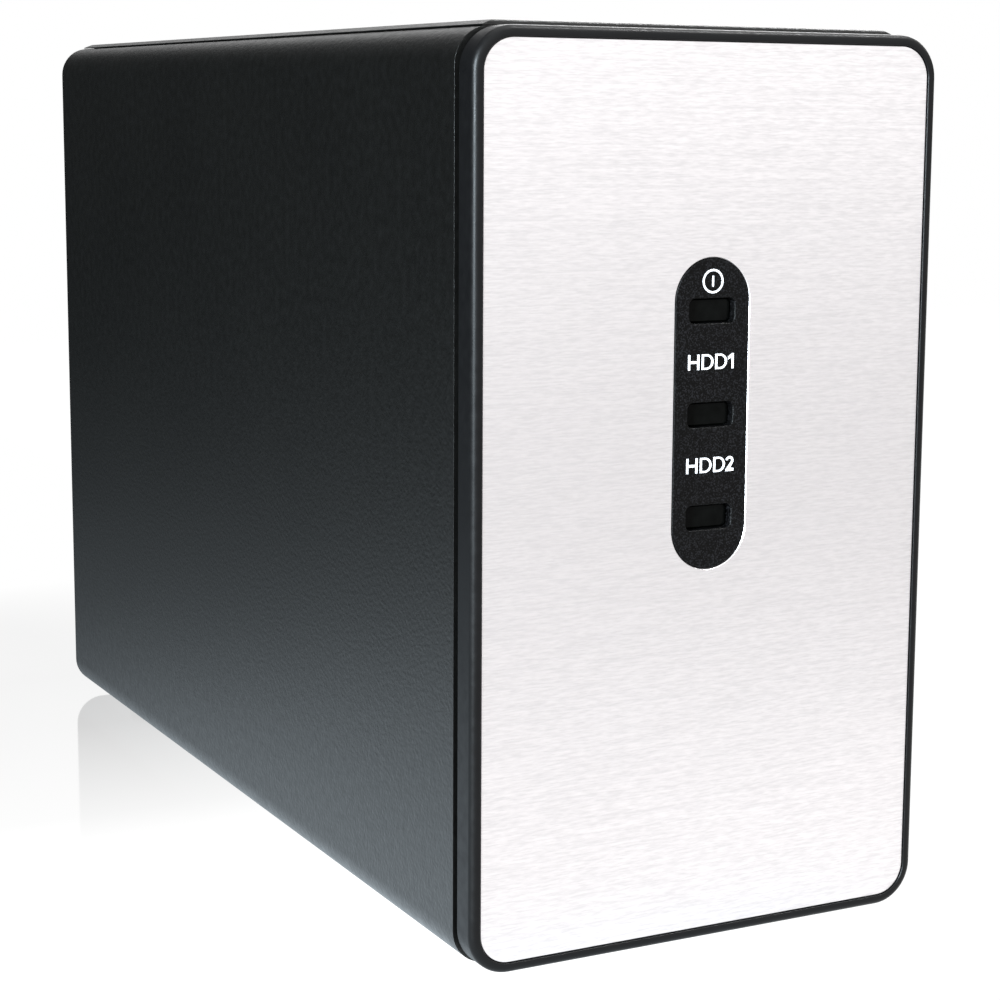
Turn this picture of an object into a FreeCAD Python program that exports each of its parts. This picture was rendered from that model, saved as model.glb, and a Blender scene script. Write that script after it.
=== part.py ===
import FreeCAD, Part
import math
import os
import re
import Sketcher
from FreeCAD import Placement, Rotation, Vector

# A two-bay network attached storage unit that stands upright.
# Frame: X to the right seen from the front, Y from the front to the rear, Z up.
# Origin: centre of the bounding box, on the surface that the feet stand on.

# Driving dimensions in millimetres (and degrees), one spreadsheet cell each.
DIMENSIONS = {
    # case
    "case_width": 92, "case_height": 160, "case_depth": 230,
    "wall": 1.2, "sheet": 1.0, "case_corner": 6.5, "knob_overhang": 2,
    "fit_gap": 0.1, "slide_gap": 0.2, "screw_gap": 0.05,
    # feet
    "foot_height": 2, "foot_radius": 6, "foot_stem": 2, "foot_bulb": 2.7, "foot_bulb_height": 1.5,
    "foot_across": 32, "foot_inset": 20,
    # vent slots in the floor of the case
    "floor_slot_first": -28, "floor_slot_width": 3, "floor_slot_length": 26,
    "floor_slot_front": -66, "floor_slot_rear": -36, "floor_slot_count": 9, "floor_slot_span": 56,
    # bezel, plate and indicator insert
    "bezel_depth": 5.6, "shadow_gap": 1.5, "bezel_corner": 7.5, "bezel_round": 1.3,
    "bezel_lip": 1.85, "bezel_web": 2, "neck_inset": 2, "neck_reach": 2, "neck_wall": 2,
    "boss_radius": 3, "boss_across": 36, "boss_margin": 14, "pilot_radius": 1.2,
    "plate_recess": 0.35, "plate_thick": 1.15,
    "insert_width": 14.8, "insert_length": 54.2, "insert_centre": 94.5,
    "insert_rim": 2, "insert_rim_thick": 1.2,
    "window_width": 9.1, "window_height": 4.3, "window_corner": 0.6, "window_pitch": 18,
    "lens_setback": 1.4, "indicator_gap": 2.3,
    "indicator_width": 16, "indicator_length": 76, "indicator_hole": 34.5, "indicator_thick": 1,
    "led_width": 3, "led_height": 2, "led_thick": 0.8,
    # top cover
    "cover_width": 82, "cover_gap": 0.1, "cover_thick": 0.85, "cover_round": 0.5,
    "cover_hem": 0.1, "cover_slope": 1.95, "cover_web_inset": 3,
    "mouth_width": 73, "web_gap": 0.6, "lip_reach": 3.1,
    "cover_flange": 17, "knob_across": 26, "knob_drop": 10, "knob_radius": 4.5,
    "knob_neck": 1.95, "knob_shank": 1.5, "knob_shank_length": 6.5, "knob_grooves": 18,
    "knob_groove": 0.35, "knob_slot_reach": 3.15, "knob_slot_half": 0.6, "knob_slot_depth": 1,
    "nut_radius": 3, "nut_thick": 3,
    # rear panel
    "panel_inset": 3.5, "panel_margin": 0.2, "panel_top_gap": 0.4,
    "tab_width": 6.8, "tab_height": 12, "tab_low": 37, "tab_high": 139, "tab_screw": 41.2,
    "ring_width": 3.6, "ring_pitch": 6.4, "ring_first": 9, "ring_count": 5, "spoke_width": 4,
    "lock_width": 7, "lock_height": 3.2, "lock_across": 31, "lock_up": 34,
    # fan
    "fan_size": 80, "fan_thick": 25, "fan_up": 86, "fan_bore": 38.2, "fan_flange": 3.5,
    "fan_corner": 4, "fan_holes": 71.5, "fan_hole": 2.15, "strut_width": 3, "strut_depth": 3,
    "strut_root": 0.5,
    "hub_radius": 15, "hub_wall": 2, "hub_front": 10, "hub_rear": 6, "shaft_radius": 1.5,
    "shaft_end": 8, "motor_radius": 11.5, "motor_front": 7, "blade_tip": 36.8,
    "blade_chord_root": 18, "blade_chord_tip": 20, "blade_thick": 1.4,
    "blade_angle_root": 32, "blade_angle_tip": 60, "blade_count": 7,
    # drives and cage
    "drive_thick": 26.1, "drive_length": 147, "drive_height": 101.6, "drive_across": 17.5,
    "drive_front": -95, "drive_lid": 0.8, "drive_rim": 4, "drive_floor": 6.5,
    "drive_board_length": 74, "drive_board_inset": 2, "drive_board_thick": 1.2,
    "drive_recess": 3, "drive_hole_rear": 41.3, "drive_hole_pitch": 44.45, "drive_hole_span": 95.25,
    "drive_corner": 2, "drive_bay_corner": 22, "drive_side_margin": 8, "drive_recess_corner": 3,
    "drive_board_gap": 1, "drive_hole_depth": 4, "lid_margin": 1.5, "lid_corner": 6,
    "lid_screw_along": 66, "lid_screw_up": 42, "lid_screw_radius": 2.4,
    "spindle_back": 20, "spindle_radius": 8, "arm_ahead": 48, "arm_up": 24, "arm_radius": 3,
    "plug_length": 40, "plug_thick": 5, "plug_depth": 7, "plug_up": 34, "plug_wall": 1.5,
    "plug_well": 3,
    "cage_up": 34, "cage_half": 44, "cage_front": -98, "cage_rear": 54, "cage_wall_top": 137,
    "ledge_width": 9, "ledge_length": 14, "ledge_front": -84, "ledge_rear": 38, "ledge_screw": 39.5,
    "vent_length": 50, "vent_height": 60, "vent_corner": 4, "vent_rise": 4,
    "vent_first": 14, "vent_second": 84,
    "tray_slot_first": -18, "tray_slot_width": 7, "tray_slot_length": 34, "tray_slot_corner": 3,
    "tray_slot_middle": -20, "tray_slot_pitch": 50, "tray_slot_count": 3, "tray_slot_span": 36,
    # boards
    "board_half": 41, "board_front": -20, "board_rear": 107, "board_lift": 5, "board_thick": 1.6,
    "board_corner": 2, "post_base": 1, "fixing_bite": 3,
    "standoff_across": 35, "standoff_front": -14, "standoff_rear": 84, "standoff_radius": 2.75,
    "backplane_y": 56.4, "backplane_half": 33, "backplane_top": 134, "backplane_low": 13,
    "backplane_shoulder": 4, "backplane_vent_corner": 3,
    "high_vent_up": 112, "high_vent_width": 9, "high_vent_height": 26, "high_vent_pitch": 16,
    "low_vent_up": 66, "low_vent_width": 8, "low_vent_height": 40, "low_vent_pitch": 12,
    "socket_half": 3, "slit_width": 1.6, "slit_wall": 1,
    "slot_half": 27, "slot_height": 8, "slot_depth": 6, "slot_wall": 1,
    "chip_side": 19, "chip_thick": 1.6, "chip_across": -8, "chip_along": 16,
    "sink_side": 38, "sink_height": 14, "sink_base": 3, "fin_count": 8, "fin_thick": 1.2,
    "memory_width": 8, "memory_length": 11, "memory_thick": 1,
    "memory_left": 23, "memory_right": 33, "memory_front": 16, "memory_rear": 30,
    "cell_radius": 10, "cell_thick": 3.2, "cell_across": 25, "cell_along": -4, "cell_lift": 1,
    "holder_wall": 1.2, "holder_height": 3.4,
    "can_radius": 3.15, "can_height": 8,
    # rear connectors
    "jack_across": -12, "jack_width": 16, "jack_height": 13.5, "jack_depth": 20,
    "jack_mouth": 12, "jack_mouth_height": 8, "jack_reach": 13, "jack_key": 6, "jack_key_height": 2.4,
    "jack_floor": 3.2, "port_proud": 1,
    "usb_first": 7, "usb_pitch": 17, "usb_width": 14.5, "usb_height": 7.2, "usb_depth": 14,
    "usb_mouth": 12.6, "usb_mouth_height": 5.2, "usb_reach": 10, "usb_tongue": 11, "usb_leaf": 1.9,
    "usb_leaf_lift": 0.2, "usb_leaf_setback": 1,
    "inlet_across": -33, "inlet_width": 9, "inlet_height": 11, "inlet_depth": 14,
    "inlet_bore": 3.15, "inlet_pin": 1.05, "inlet_reach": 9.5,
    "switch_across": -29, "switch_up": 34, "switch_width": 8.4, "switch_height": 13,
    "switch_depth": 14, "switch_rim": 1, "switch_rim_thick": 1.5, "rocker_width": 6.4,
    "rocker_gap": 0.2, "rocker_half": 5.6, "rocker_tilt": 8, "pivot_radius": 0.9, "pivot_length": 7.6,
    "switch_well_depth": 4, "rocker_proud": 3.2, "rocker_dip": 1.8, "rocker_chin": 0.4,
    "rocker_tuck": 0.6, "rocker_keel": 2.4, "rocker_keel_half": 1.5,
    "reset_across": 37, "reset_side": 6, "reset_height": 7, "reset_rod": 1.6, "reset_hole": 1.9,
    "reset_length": 8.5, "reset_bore": 5.4, "reset_setback": 3.5, "reset_depth": 8,
    # fasteners and cables
    "head_radius": 2.8, "head_height": 1.8, "screw_radius": 1.5, "cross_width": 0.7, "cross_reach": 1.68,
    "bezel_screw_length": 4, "lamp_screw_length": 3.5, "panel_screw_length": 5, "fan_screw_length": 9,
    "drive_screw_length": 4,
    "cable_radius": 1.2, "cable_bend": 5, "lead_up": 70, "lead_low": 13, "lead_run": 1.9,
    "fan_lead_across": 36, "fan_lead_up": 60, "fan_lead_run": 12, "switch_lead_run": 8.5,
    "header_width": 5, "header_length": 6, "header_height": 6, "header_inset": 8,
    # wall at the front of the chassis
    "chassis_flange": 8, "chassis_gap": 0.8, "lead_slot_width": 12, "lead_slot_height": 8,
    "lead_slot_corner": 2,
}

# Named places, each a formula of the driving dimensions.
PLACES = {
    "front_y": "-(case_depth + knob_overhang) / 2",
    "rear_y": "front_y + case_depth",
    "shell_front": "front_y + bezel_depth + shadow_gap",
    "chassis_y": "shell_front + neck_reach",
    "web_front": "front_y + plate_recess + plate_thick",
    "web_rear": "web_front + bezel_web",
    "panel_y": "rear_y - panel_inset",
    "panel_in": "panel_y - sheet",
    "top_z": "foot_height + case_height",
    "mid_z": "foot_height + case_height / 2",
    "floor_z": "foot_height + wall",
    "roof_z": "top_z - wall",
    "inner_half": "case_width / 2 - wall",
    "insert_z": "foot_height + insert_centre",
    "lens_y": "front_y + plate_recess + lens_setback",
    "indicator_y": "web_rear + indicator_gap + led_thick",
    "cover_z": "top_z + cover_gap",
    "cover_top": "cover_z + cover_thick",
    "cover_y": "panel_y + fit_gap",
    "lip_z": "roof_z - slide_gap",
    "web_half": "mouth_width / 2 - web_gap",
    "knob_z": "top_z - knob_drop",
    "knob_y": "cover_y + sheet",
    "panel_half": "inner_half - panel_margin",
    "panel_low": "floor_z + panel_margin",
    "panel_top": "lip_z - sheet - panel_top_gap",
    "fan_y": "panel_in - fan_thick / 2",
    "motor_seat": "fan_thick / 2 - strut_depth",
    "board_z": "floor_z + board_lift + board_thick",
    "drive_rear": "drive_front + drive_length",
    "drive_low": "cage_up + sheet",
    "drive_mid": "drive_low + drive_height / 2",
    "drive_in": "drive_across - drive_thick / 2",
    "drive_out": "drive_across + drive_thick / 2",
    "port_y": "panel_y + port_proud",
    "sink_z": "board_z + chip_thick",
    "pivot_y": "panel_y - sheet",
}

# Smaller parts on the mainboard: (x, y, side) of each control chip and (x, y) of each capacitor.
CONTROL_CHIPS = (("-12", "80", "10"), ("16", "76", "7"), ("-33", "4", "6"), ("30", "48", "6"))
CAPACITORS = (("-36", "70"), ("-28", "70"), ("-36", "60"), ("30", "76"), ("36", "66"), ("-33", "24"))

SPOKE_ANGLES = (45, 135)
SIDES = (("left", "-"), ("right", ""))
NORMAL = {"xy": 1, "xz": -1, "yz": 1}
PLANE_ROLE = {"xy": "XY_Plane", "xz": "XZ_Plane", "yz": "YZ_Plane"}
TURN = {
    "x": Rotation(Vector(0, 1, 0), 90),
    "y": Rotation(Vector(1, 0, 0), -90),
    "z": Rotation(),
}

document = FreeCAD.newDocument("storage_unit")
dims = document.addObject("Spreadsheet::Sheet", "dims")
nodes = []


# ---------------------------------------------------------------- sheet and formulas

def fill_sheet():
    for row, (name, value) in enumerate(DIMENSIONS.items(), start=1):
        dims.set("A%d" % row, name)
        dims.set("B%d" % row, str(value))
        dims.setAlias("B%d" % row, name)
    document.recompute()


def formula(text):
    """Turn a formula of plain names into an expression on the sheet's cells."""
    def swap(match):
        word = match.group(0)
        if word in PLACES:
            return "(" + formula(PLACES[word]) + ")"
        if word in DIMENSIONS:
            return "dims." + word
        return word
    return re.sub(r"[A-Za-z_][A-Za-z_0-9]*", swap, str(text))


def number(text):
    return float(dims.evalExpression(formula(text)))


def bind(item, **bound):
    for name, text in bound.items():
        item.setExpression(name, formula(text))


def place(item, x="0", y="0", z="0"):
    for axis, text in (("x", x), ("y", y), ("z", z)):
        item.setExpression("Placement.Base." + axis, formula(text))


def node(item, name):
    """Name a finished piece; every named piece is written to a file of its own."""
    item.Label = name
    nodes.append(item)
    return item


# ---------------------------------------------------------------- outlines in a sketch

def pin_point(sketch, element, point, x, y):
    """Hold one point of a sketch at (x, y) from the sketch's origin."""
    for kind, text in (("DistanceX", x), ("DistanceY", y)):
        index = sketch.addConstraint(Sketcher.Constraint(kind, -1, 1, element, point, number(text)))
        sketch.setExpression("Constraints[%d]" % index, formula(text))


def polygon(*corners):
    """A closed outline of straight edges through the corners."""
    def draw(sketch):
        points = [Vector(number(x), number(y), 0) for x, y in corners]
        count = len(points)
        first = sketch.GeometryCount
        for index in range(count):
            edge = Part.LineSegment(points[index], points[(index + 1) % count])
            sketch.addGeometry(edge, False)
        for index in range(count):
            following = first + (index + 1) % count
            sketch.addConstraint(Sketcher.Constraint("Coincident", first + index, 2, following, 1))
            pin_point(sketch, first + index, 1, *corners[index])
    return draw


def rectangle(x_low, x_high, y_low, y_high):
    return polygon((x_low, y_low), (x_high, y_low), (x_high, y_high), (x_low, y_high))


def circle(x, y, radius):
    def draw(sketch):
        centre = Vector(number(x), number(y), 0)
        item = sketch.addGeometry(Part.Circle(centre, Vector(0, 0, 1), number(radius)), False)
        index = sketch.addConstraint(Sketcher.Constraint("Radius", item, number(radius)))
        sketch.setExpression("Constraints[%d]" % index, formula(radius))
        pin_point(sketch, item, 3, x, y)
    return draw


def arc_loop(radius, arcs):
    """Arcs of one radius, each (x, y, quarter it starts at, quarters), joined by tangent lines."""
    def draw(sketch):
        size = number(radius)
        curves = []
        for x, y, first, quarters in arcs:
            base = Part.Circle(Vector(number(x), number(y), 0), Vector(0, 0, 1), size)
            start = first * math.pi / 2
            arc = Part.ArcOfCircle(base, start, start + quarters * math.pi / 2)
            curves.append((sketch.addGeometry(arc, False), arc))
        for (item, arc), (following, next_arc) in zip(curves, curves[1:] + curves[:1]):
            edge = sketch.addGeometry(Part.LineSegment(arc.EndPoint, next_arc.StartPoint), False)
            sketch.addConstraint(Sketcher.Constraint("Tangent", item, 2, edge, 1))
            sketch.addConstraint(Sketcher.Constraint("Tangent", edge, 2, following, 1))
        for (item, _), (x, y, _, _) in zip(curves, arcs):
            pin_point(sketch, item, 3, x, y)
            index = sketch.addConstraint(Sketcher.Constraint("Radius", item, size))
            sketch.setExpression("Constraints[%d]" % index, formula(radius))
    return draw


def rounded(x, y, width, height, radius):
    """A rectangle about (x, y) whose corners are arcs."""
    across = "((%s) / 2 - (%s))" % (width, radius)
    along = "((%s) / 2 - (%s))" % (height, radius)
    corners = (("+", "+"), ("-", "+"), ("-", "-"), ("+", "-"))
    return arc_loop(radius, [
        ("(%s) %s %s" % (x, sx, across), "(%s) %s %s" % (y, sy, along), quarter, 1)
        for quarter, (sx, sy) in enumerate(corners)
    ])


def stadium(x, y, width, length):
    """A slot along the sketch's vertical axis with half-round ends."""
    radius = "((%s) / 2)" % width
    along = "((%s) / 2 - %s)" % (length, radius)
    return arc_loop(radius, [(x, "(%s) + %s" % (y, along), 0, 2), (x, "(%s) - %s" % (y, along), 2, 2)])


# ---------------------------------------------------------------- bodies and their features

def body(name, **base):
    item = document.addObject("PartDesign::Body", name)
    place(item, **base)
    return node(item, name)


def outline(owner, plane, level, draws, turn=None):
    sketch = owner.newObject("Sketcher::SketchObject", owner.Name + "_outline")
    origin_plane = next(f for f in owner.Origin.OriginFeatures if f.Role == PLANE_ROLE[plane])
    sketch.AttachmentSupport = [(origin_plane, "")]
    sketch.MapMode = "FlatFace"
    if turn is not None:
        sketch.AttachmentOffset = Placement(Vector(), Rotation(Vector(0, 0, 1), number(turn)))
    sign = "-" if NORMAL[plane] < 0 else ""
    sketch.setExpression("AttachmentOffset.Base.z", formula("%s(%s)" % (sign, level)))
    for draw in draws:
        draw(sketch)
    return sketch


def feature(owner, kind, plane, level, toward, length, draws):
    """Add or remove the extrusion of some outlines; toward is +1 or -1 along the axis."""
    before = owner.Shape.Volume if owner.Tip else 0
    sketch = outline(owner, plane, level, draws)
    step = owner.newObject("PartDesign::" + kind, owner.Name + "_" + kind.lower())
    step.Profile = sketch
    bind(step, Length=length)
    along_normal = toward == NORMAL[plane]
    step.Reversed = along_normal if kind == "Pocket" else not along_normal
    document.recompute()
    change = owner.Shape.Volume - before
    if (change >= 0) == (kind == "Pocket"):
        raise ValueError("%s of %s changes nothing" % (kind, owner.Label))
    return step


def pad(owner, plane, level, toward, length, *draws):
    return feature(owner, "Pad", plane, level, toward, length, draws)


def pocket(owner, plane, level, toward, length, *draws):
    return feature(owner, "Pocket", plane, level, toward, length, draws)


def revolve(owner, *draws):
    """Turn an outline on the YZ plane about the body's Y axis."""
    sketch = outline(owner, "yz", "0", draws)
    step = owner.newObject("PartDesign::Revolution", owner.Name + "_revolution")
    step.Profile = sketch
    step.ReferenceAxis = (sketch, ["H_Axis"])
    step.Angle = 360
    document.recompute()
    return step


def pattern(owner, kind, step, axis, occurrences, **sizes):
    item = owner.newObject("PartDesign::" + kind, owner.Name + "_pattern")
    item.Originals = [step]
    line = next(f for f in owner.Origin.OriginFeatures if f.Role == axis)
    if kind == "LinearPattern":
        item.Direction = (line, [""])
    else:
        item.Axis = (line, [""])
    bind(item, Occurrences=occurrences, **sizes)
    owner.Tip = item
    document.recompute()
    return item


def round_edges(owner, radius, wanted):
    """Fillet the edges of the body's tip whose bounding box passes the test."""
    tip = owner.Tip
    names = [
        "Edge%d" % index
        for index, edge in enumerate(tip.Shape.Edges, start=1)
        if wanted(edge.BoundBox)
    ]
    step = owner.newObject("PartDesign::Fillet", owner.Name + "_fillet")
    step.Base = (tip, names)
    bind(step, Radius=radius)
    document.recompute()
    return step


# ---------------------------------------------------------------- primitives and booleans

def block(name, x, y, z):
    """A box between the low and high places of each axis."""
    item = document.addObject("Part::Box", name)
    for side, span in (("Length", x), ("Width", y), ("Height", z)):
        item.setExpression(side, formula("(%s) - (%s)" % (span[1], span[0])))
    place(item, x[0], y[0], z[0])
    return item


def rod(name, axis, x, y, z, radius, length):
    """A cylinder that starts at (x, y, z) and runs along the positive axis."""
    item = document.addObject("Part::Cylinder", name)
    item.Placement = Placement(Vector(), TURN[axis])
    bind(item, Radius=radius, Height=length)
    place(item, x, y, z)
    return item


def join(name, items):
    item = document.addObject("Part::MultiFuse", name)
    item.Shapes = items
    return item


def cut(name, base, tools):
    item = document.addObject("Part::Cut", name)
    item.Base = base
    item.Tool = tools[0] if len(tools) == 1 else join(name + "_tools", tools)
    return item


def group(name, items):
    item = document.addObject("Part::Compound", name)
    item.Links = items
    return node(item, name)


def screw(name, axis, toward, x, y, z, length, radius="screw_radius"):
    """A pan-head screw; (x, y, z) is under its head, and its shank runs toward +1 or -1."""
    seat = {"x": x, "y": y, "z": z}
    low = dict(seat)
    head = dict(seat)
    if toward > 0:
        head[axis] = "(%s) - head_height" % seat[axis]
        slot_low = head[axis]
    else:
        low[axis] = "(%s) - (%s)" % (seat[axis], length)
        slot_low = "(%s) + head_height / 2" % seat[axis]
    shank = rod(name + "_shank", axis, low["x"], low["y"], low["z"], radius, length)
    cap = rod(name + "_head", axis, head["x"], head["y"], head["z"], "head_radius", "head_height")
    bars = []
    flat = [a for a in "xyz" if a != axis]
    for long_axis in flat:
        spans = {}
        for other in flat:
            half = "cross_reach" if other == long_axis else "cross_width / 2"
            spans[other] = ("(%s) - %s" % (seat[other], half), "(%s) + %s" % (seat[other], half))
        spans[axis] = (slot_low, "(%s) + head_height / 2" % slot_low)
        bars.append(block(name + "_bar", spans["x"], spans["y"], spans["z"]))
    return cut(name, join(name + "_blank", [shank, cap]), bars)


def cable(name, points):
    """A round cable along straight runs joined by tangent arcs."""
    radius = number("cable_radius")
    bend = number("cable_bend")
    path = [Vector(*(number(value) for value in point)) for point in points]
    edges = []
    start = path[0]
    for index in range(1, len(path) - 1):
        corner = path[index]
        back = (path[index - 1] - corner).normalize()
        ahead = (path[index + 1] - corner).normalize()
        half_turn = (math.pi - back.getAngle(ahead)) / 2
        reach = bend * math.tan(half_turn)
        arc_start = corner + back * reach
        arc_end = corner + ahead * reach
        to_centre = (back + ahead).normalize()
        middle = corner + to_centre * (bend / math.cos(half_turn) - bend)
        edges.append(Part.LineSegment(start, arc_start).toShape())
        edges.append(Part.Arc(arc_start, middle, arc_end).toShape())
        start = arc_end
    edges.append(Part.LineSegment(start, path[-1]).toShape())
    spine = Part.Wire(edges)
    section = Part.Wire(Part.makeCircle(radius, path[0], path[1] - path[0]))
    item = document.addObject("Part::Feature", name)
    item.Shape = spine.makePipeShell([section], True, False)
    return node(item, name)


# ---------------------------------------------------------------- front

def make_bezel():
    """Satin black ring with a recess for the plate, and a neck that enters the shell."""
    piece = body("front_bezel")
    pad(piece, "xz", "front_y", 1, "bezel_depth",
        rounded("0", "mid_z", "case_width", "case_height", "bezel_corner"))
    front = number("front_y")
    round_edges(piece, "bezel_round", lambda box: box.YMax < front + 0.01)
    pocket(piece, "xz", "front_y", 1, "web_front - front_y",
           rounded("0", "mid_z", "case_width - 2 * bezel_lip", "case_height - 2 * bezel_lip",
                   "bezel_corner - bezel_lip"))
    pad(piece, "xz", "front_y + bezel_depth", 1, "chassis_y - front_y - bezel_depth",
        rounded("0", "mid_z", "case_width - 2 * neck_inset", "case_height - 2 * neck_inset",
                "bezel_corner - neck_inset"))
    pocket(piece, "xz", "chassis_y", -1, "chassis_y - web_rear",
           rounded("0", "mid_z", "case_width - 2 * (neck_inset + neck_wall)",
                   "case_height - 2 * (neck_inset + neck_wall)", "bezel_corner - neck_inset - neck_wall"))
    bosses = [(x + "boss_across", z) for x in ("-", "") for z in
              ("foot_height + boss_margin", "top_z - boss_margin")]
    pad(piece, "xz", "web_rear", 1, "chassis_y - web_rear",
        *[circle(x, z, "boss_radius") for x, z in bosses])
    board_bosses = [("0", "insert_z %s indicator_hole" % sign) for sign in "+-"]
    pad(piece, "xz", "web_rear", 1, "indicator_y - web_rear",
        *[circle(x, z, "boss_radius") for x, z in board_bosses])
    pocket(piece, "xz", "web_rear", 1, "chassis_y - web_rear",
           *[circle(x, z, "pilot_radius + screw_gap") for x, z in bosses + board_bosses])
    pocket(piece, "xz", "web_front", 1, "bezel_web",
           stadium("0", "insert_z", "insert_width + 2 * fit_gap", "insert_length + 2 * fit_gap"))


def make_plate():
    """Brushed aluminium plate with a stadium hole for the indicator insert."""
    piece = body("front_plate")
    pad(piece, "xz", "web_front", -1, "plate_thick",
        rounded("0", "mid_z", "case_width - 2 * bezel_lip - 2 * fit_gap",
                "case_height - 2 * bezel_lip - 2 * fit_gap", "bezel_corner - bezel_lip - fit_gap"),
        stadium("0", "insert_z", "insert_width + 2 * fit_gap", "insert_length + 2 * fit_gap"))


def window_heights():
    return [("power", "insert_z + window_pitch"), ("hdd1", "insert_z"), ("hdd2", "insert_z - window_pitch")]


def make_insert():
    """Moulded stadium with three windows, and a rim that bears on the back of the bezel web."""
    piece = body("indicator_insert")
    pad(piece, "xz", "web_front - plate_thick", 1, "web_rear - web_front + plate_thick",
        stadium("0", "insert_z", "insert_width", "insert_length"))
    pad(piece, "xz", "web_rear", 1, "insert_rim_thick",
        stadium("0", "insert_z", "insert_width + 2 * insert_rim", "insert_length + 2 * insert_rim"))
    pocket(piece, "xz", "front_y", 1, "bezel_depth",
           *[rounded("0", z, "window_width", "window_height", "window_corner")
             for _, z in window_heights()])


def make_light_pipes():
    """Smoked bars that carry each lamp's light to its window."""
    for name, z in window_heights():
        piece = body("light_pipe_" + name)
        pad(piece, "xz", "lens_y", 1, "indicator_y - led_thick - fit_gap - lens_y",
            rounded("0", z, "window_width - 2 * screw_gap", "window_height - 2 * screw_gap",
                    "window_corner - screw_gap"))


def make_indicator_board():
    piece = body("indicator_board")
    pad(piece, "xz", "indicator_y", 1, "indicator_thick",
        rounded("0", "insert_z", "indicator_width", "indicator_length", "window_corner"),
        *[circle("0", "insert_z %s indicator_hole" % sign, "screw_radius + fit_gap") for sign in "+-"])
    lamps = []
    for name, z in window_heights():
        lamps.append(block("lamp_" + name, ("-led_width / 2", "led_width / 2"),
                           ("indicator_y - led_thick", "indicator_y"),
                           (z + " - led_height / 2", z + " + led_height / 2")))
    group("indicator_leds", lamps)


def make_bezel_screws():
    screws = []
    for side in ("-", ""):
        for z in ("foot_height + boss_margin", "top_z - boss_margin"):
            screws.append(screw("bezel_screw", "y", -1, side + "boss_across", "chassis_y + sheet", z,
                                "bezel_screw_length", "pilot_radius"))
    for sign in "+-":
        screws.append(screw("board_screw", "y", -1, "0", "indicator_y + indicator_thick",
                            "insert_z %s indicator_hole" % sign, "lamp_screw_length", "pilot_radius"))
    group("bezel_screws", screws)


# ---------------------------------------------------------------- case

def make_shell():
    """Bent steel sleeve: floor, two plain sides and two inturned top flanges."""
    piece = body("body_shell")
    pad(piece, "xz", "shell_front", 1, "rear_y - shell_front",
        rounded("0", "mid_z", "case_width", "case_height", "case_corner"),
        rounded("0", "mid_z", "case_width - 2 * wall", "case_height - 2 * wall", "case_corner - wall"))
    pocket(piece, "xy", "top_z", -1, "2 * wall",
           rectangle("-mouth_width / 2", "mouth_width / 2", "shell_front - 1", "rear_y + 1"))
    tabs = []
    for z in ("tab_low", "tab_high"):
        tabs.append(rectangle("inner_half - tab_width", "inner_half + wall / 2",
                              z + " - tab_height / 2", z + " + tab_height / 2"))
        tabs.append(rectangle("-inner_half - wall / 2", "-inner_half + tab_width",
                              z + " - tab_height / 2", z + " + tab_height / 2"))
    pad(piece, "xz", "panel_in", -1, "wall", *tabs)
    pocket(piece, "xz", "panel_in", -1, "wall",
           *[circle(side + "tab_screw", z, "screw_radius + screw_gap")
             for side in ("-", "") for z in ("tab_low", "tab_high")])
    ledges = []
    for y in ("ledge_front", "ledge_rear"):
        span = around(y, "ledge_length")
        ledges.append(rectangle("inner_half - ledge_width", "inner_half + wall / 2", *span))
        ledges.append(rectangle("-inner_half - wall / 2", "-inner_half + ledge_width", *span))
    pad(piece, "xy", "cage_up", -1, "wall", *ledges)
    pocket(piece, "xy", "cage_up", -1, "wall",
           *[circle(x, y, "screw_radius + screw_gap") for x, y in ledge_places()])
    holes = []
    for side in ("-", ""):
        for y in ("front_y + foot_inset", "rear_y - foot_inset"):
            holes.append(circle(side + "foot_across", y, "foot_stem + screw_gap"))
    pocket(piece, "xy", "floor_z", -1, "wall", *holes)
    slots = pocket(piece, "xy", "floor_z", -1, "wall",
                   *[stadium("floor_slot_first", y, "floor_slot_width", "floor_slot_length")
                     for y in ("floor_slot_front", "floor_slot_rear")])
    pattern(piece, "LinearPattern", slots, "X_Axis", "floor_slot_count", Length="floor_slot_span")


def make_chassis_plate():
    """Front wall of the chassis, with side flanges welded inside the shell."""
    piece = body("front_chassis_plate")
    pad(piece, "xz", "chassis_y", 1, "sheet",
        rounded("0", "mid_z", "2 * inner_half", "case_height - 2 * wall - 2 * chassis_gap",
                "case_corner - wall"))
    cable_slot = rounded("0", "lead_up", "lead_slot_width", "lead_slot_height", "lead_slot_corner")
    holes = [circle(side + "boss_across", z, "pilot_radius + 3 * fit_gap") for side in ("-", "")
             for z in ("foot_height + boss_margin", "top_z - boss_margin")]
    heads = [circle("0", "insert_z %s indicator_hole" % sign, "head_radius + sheet") for sign in "+-"]
    pocket(piece, "xz", "chassis_y", 1, "sheet", cable_slot, *holes, *heads)
    pad(piece, "xz", "chassis_y", 1, "chassis_flange",
        rectangle("-inner_half", "-inner_half + sheet", "tab_low", "tab_high"),
        rectangle("inner_half - sheet", "inner_half", "tab_low", "tab_high"))


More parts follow.
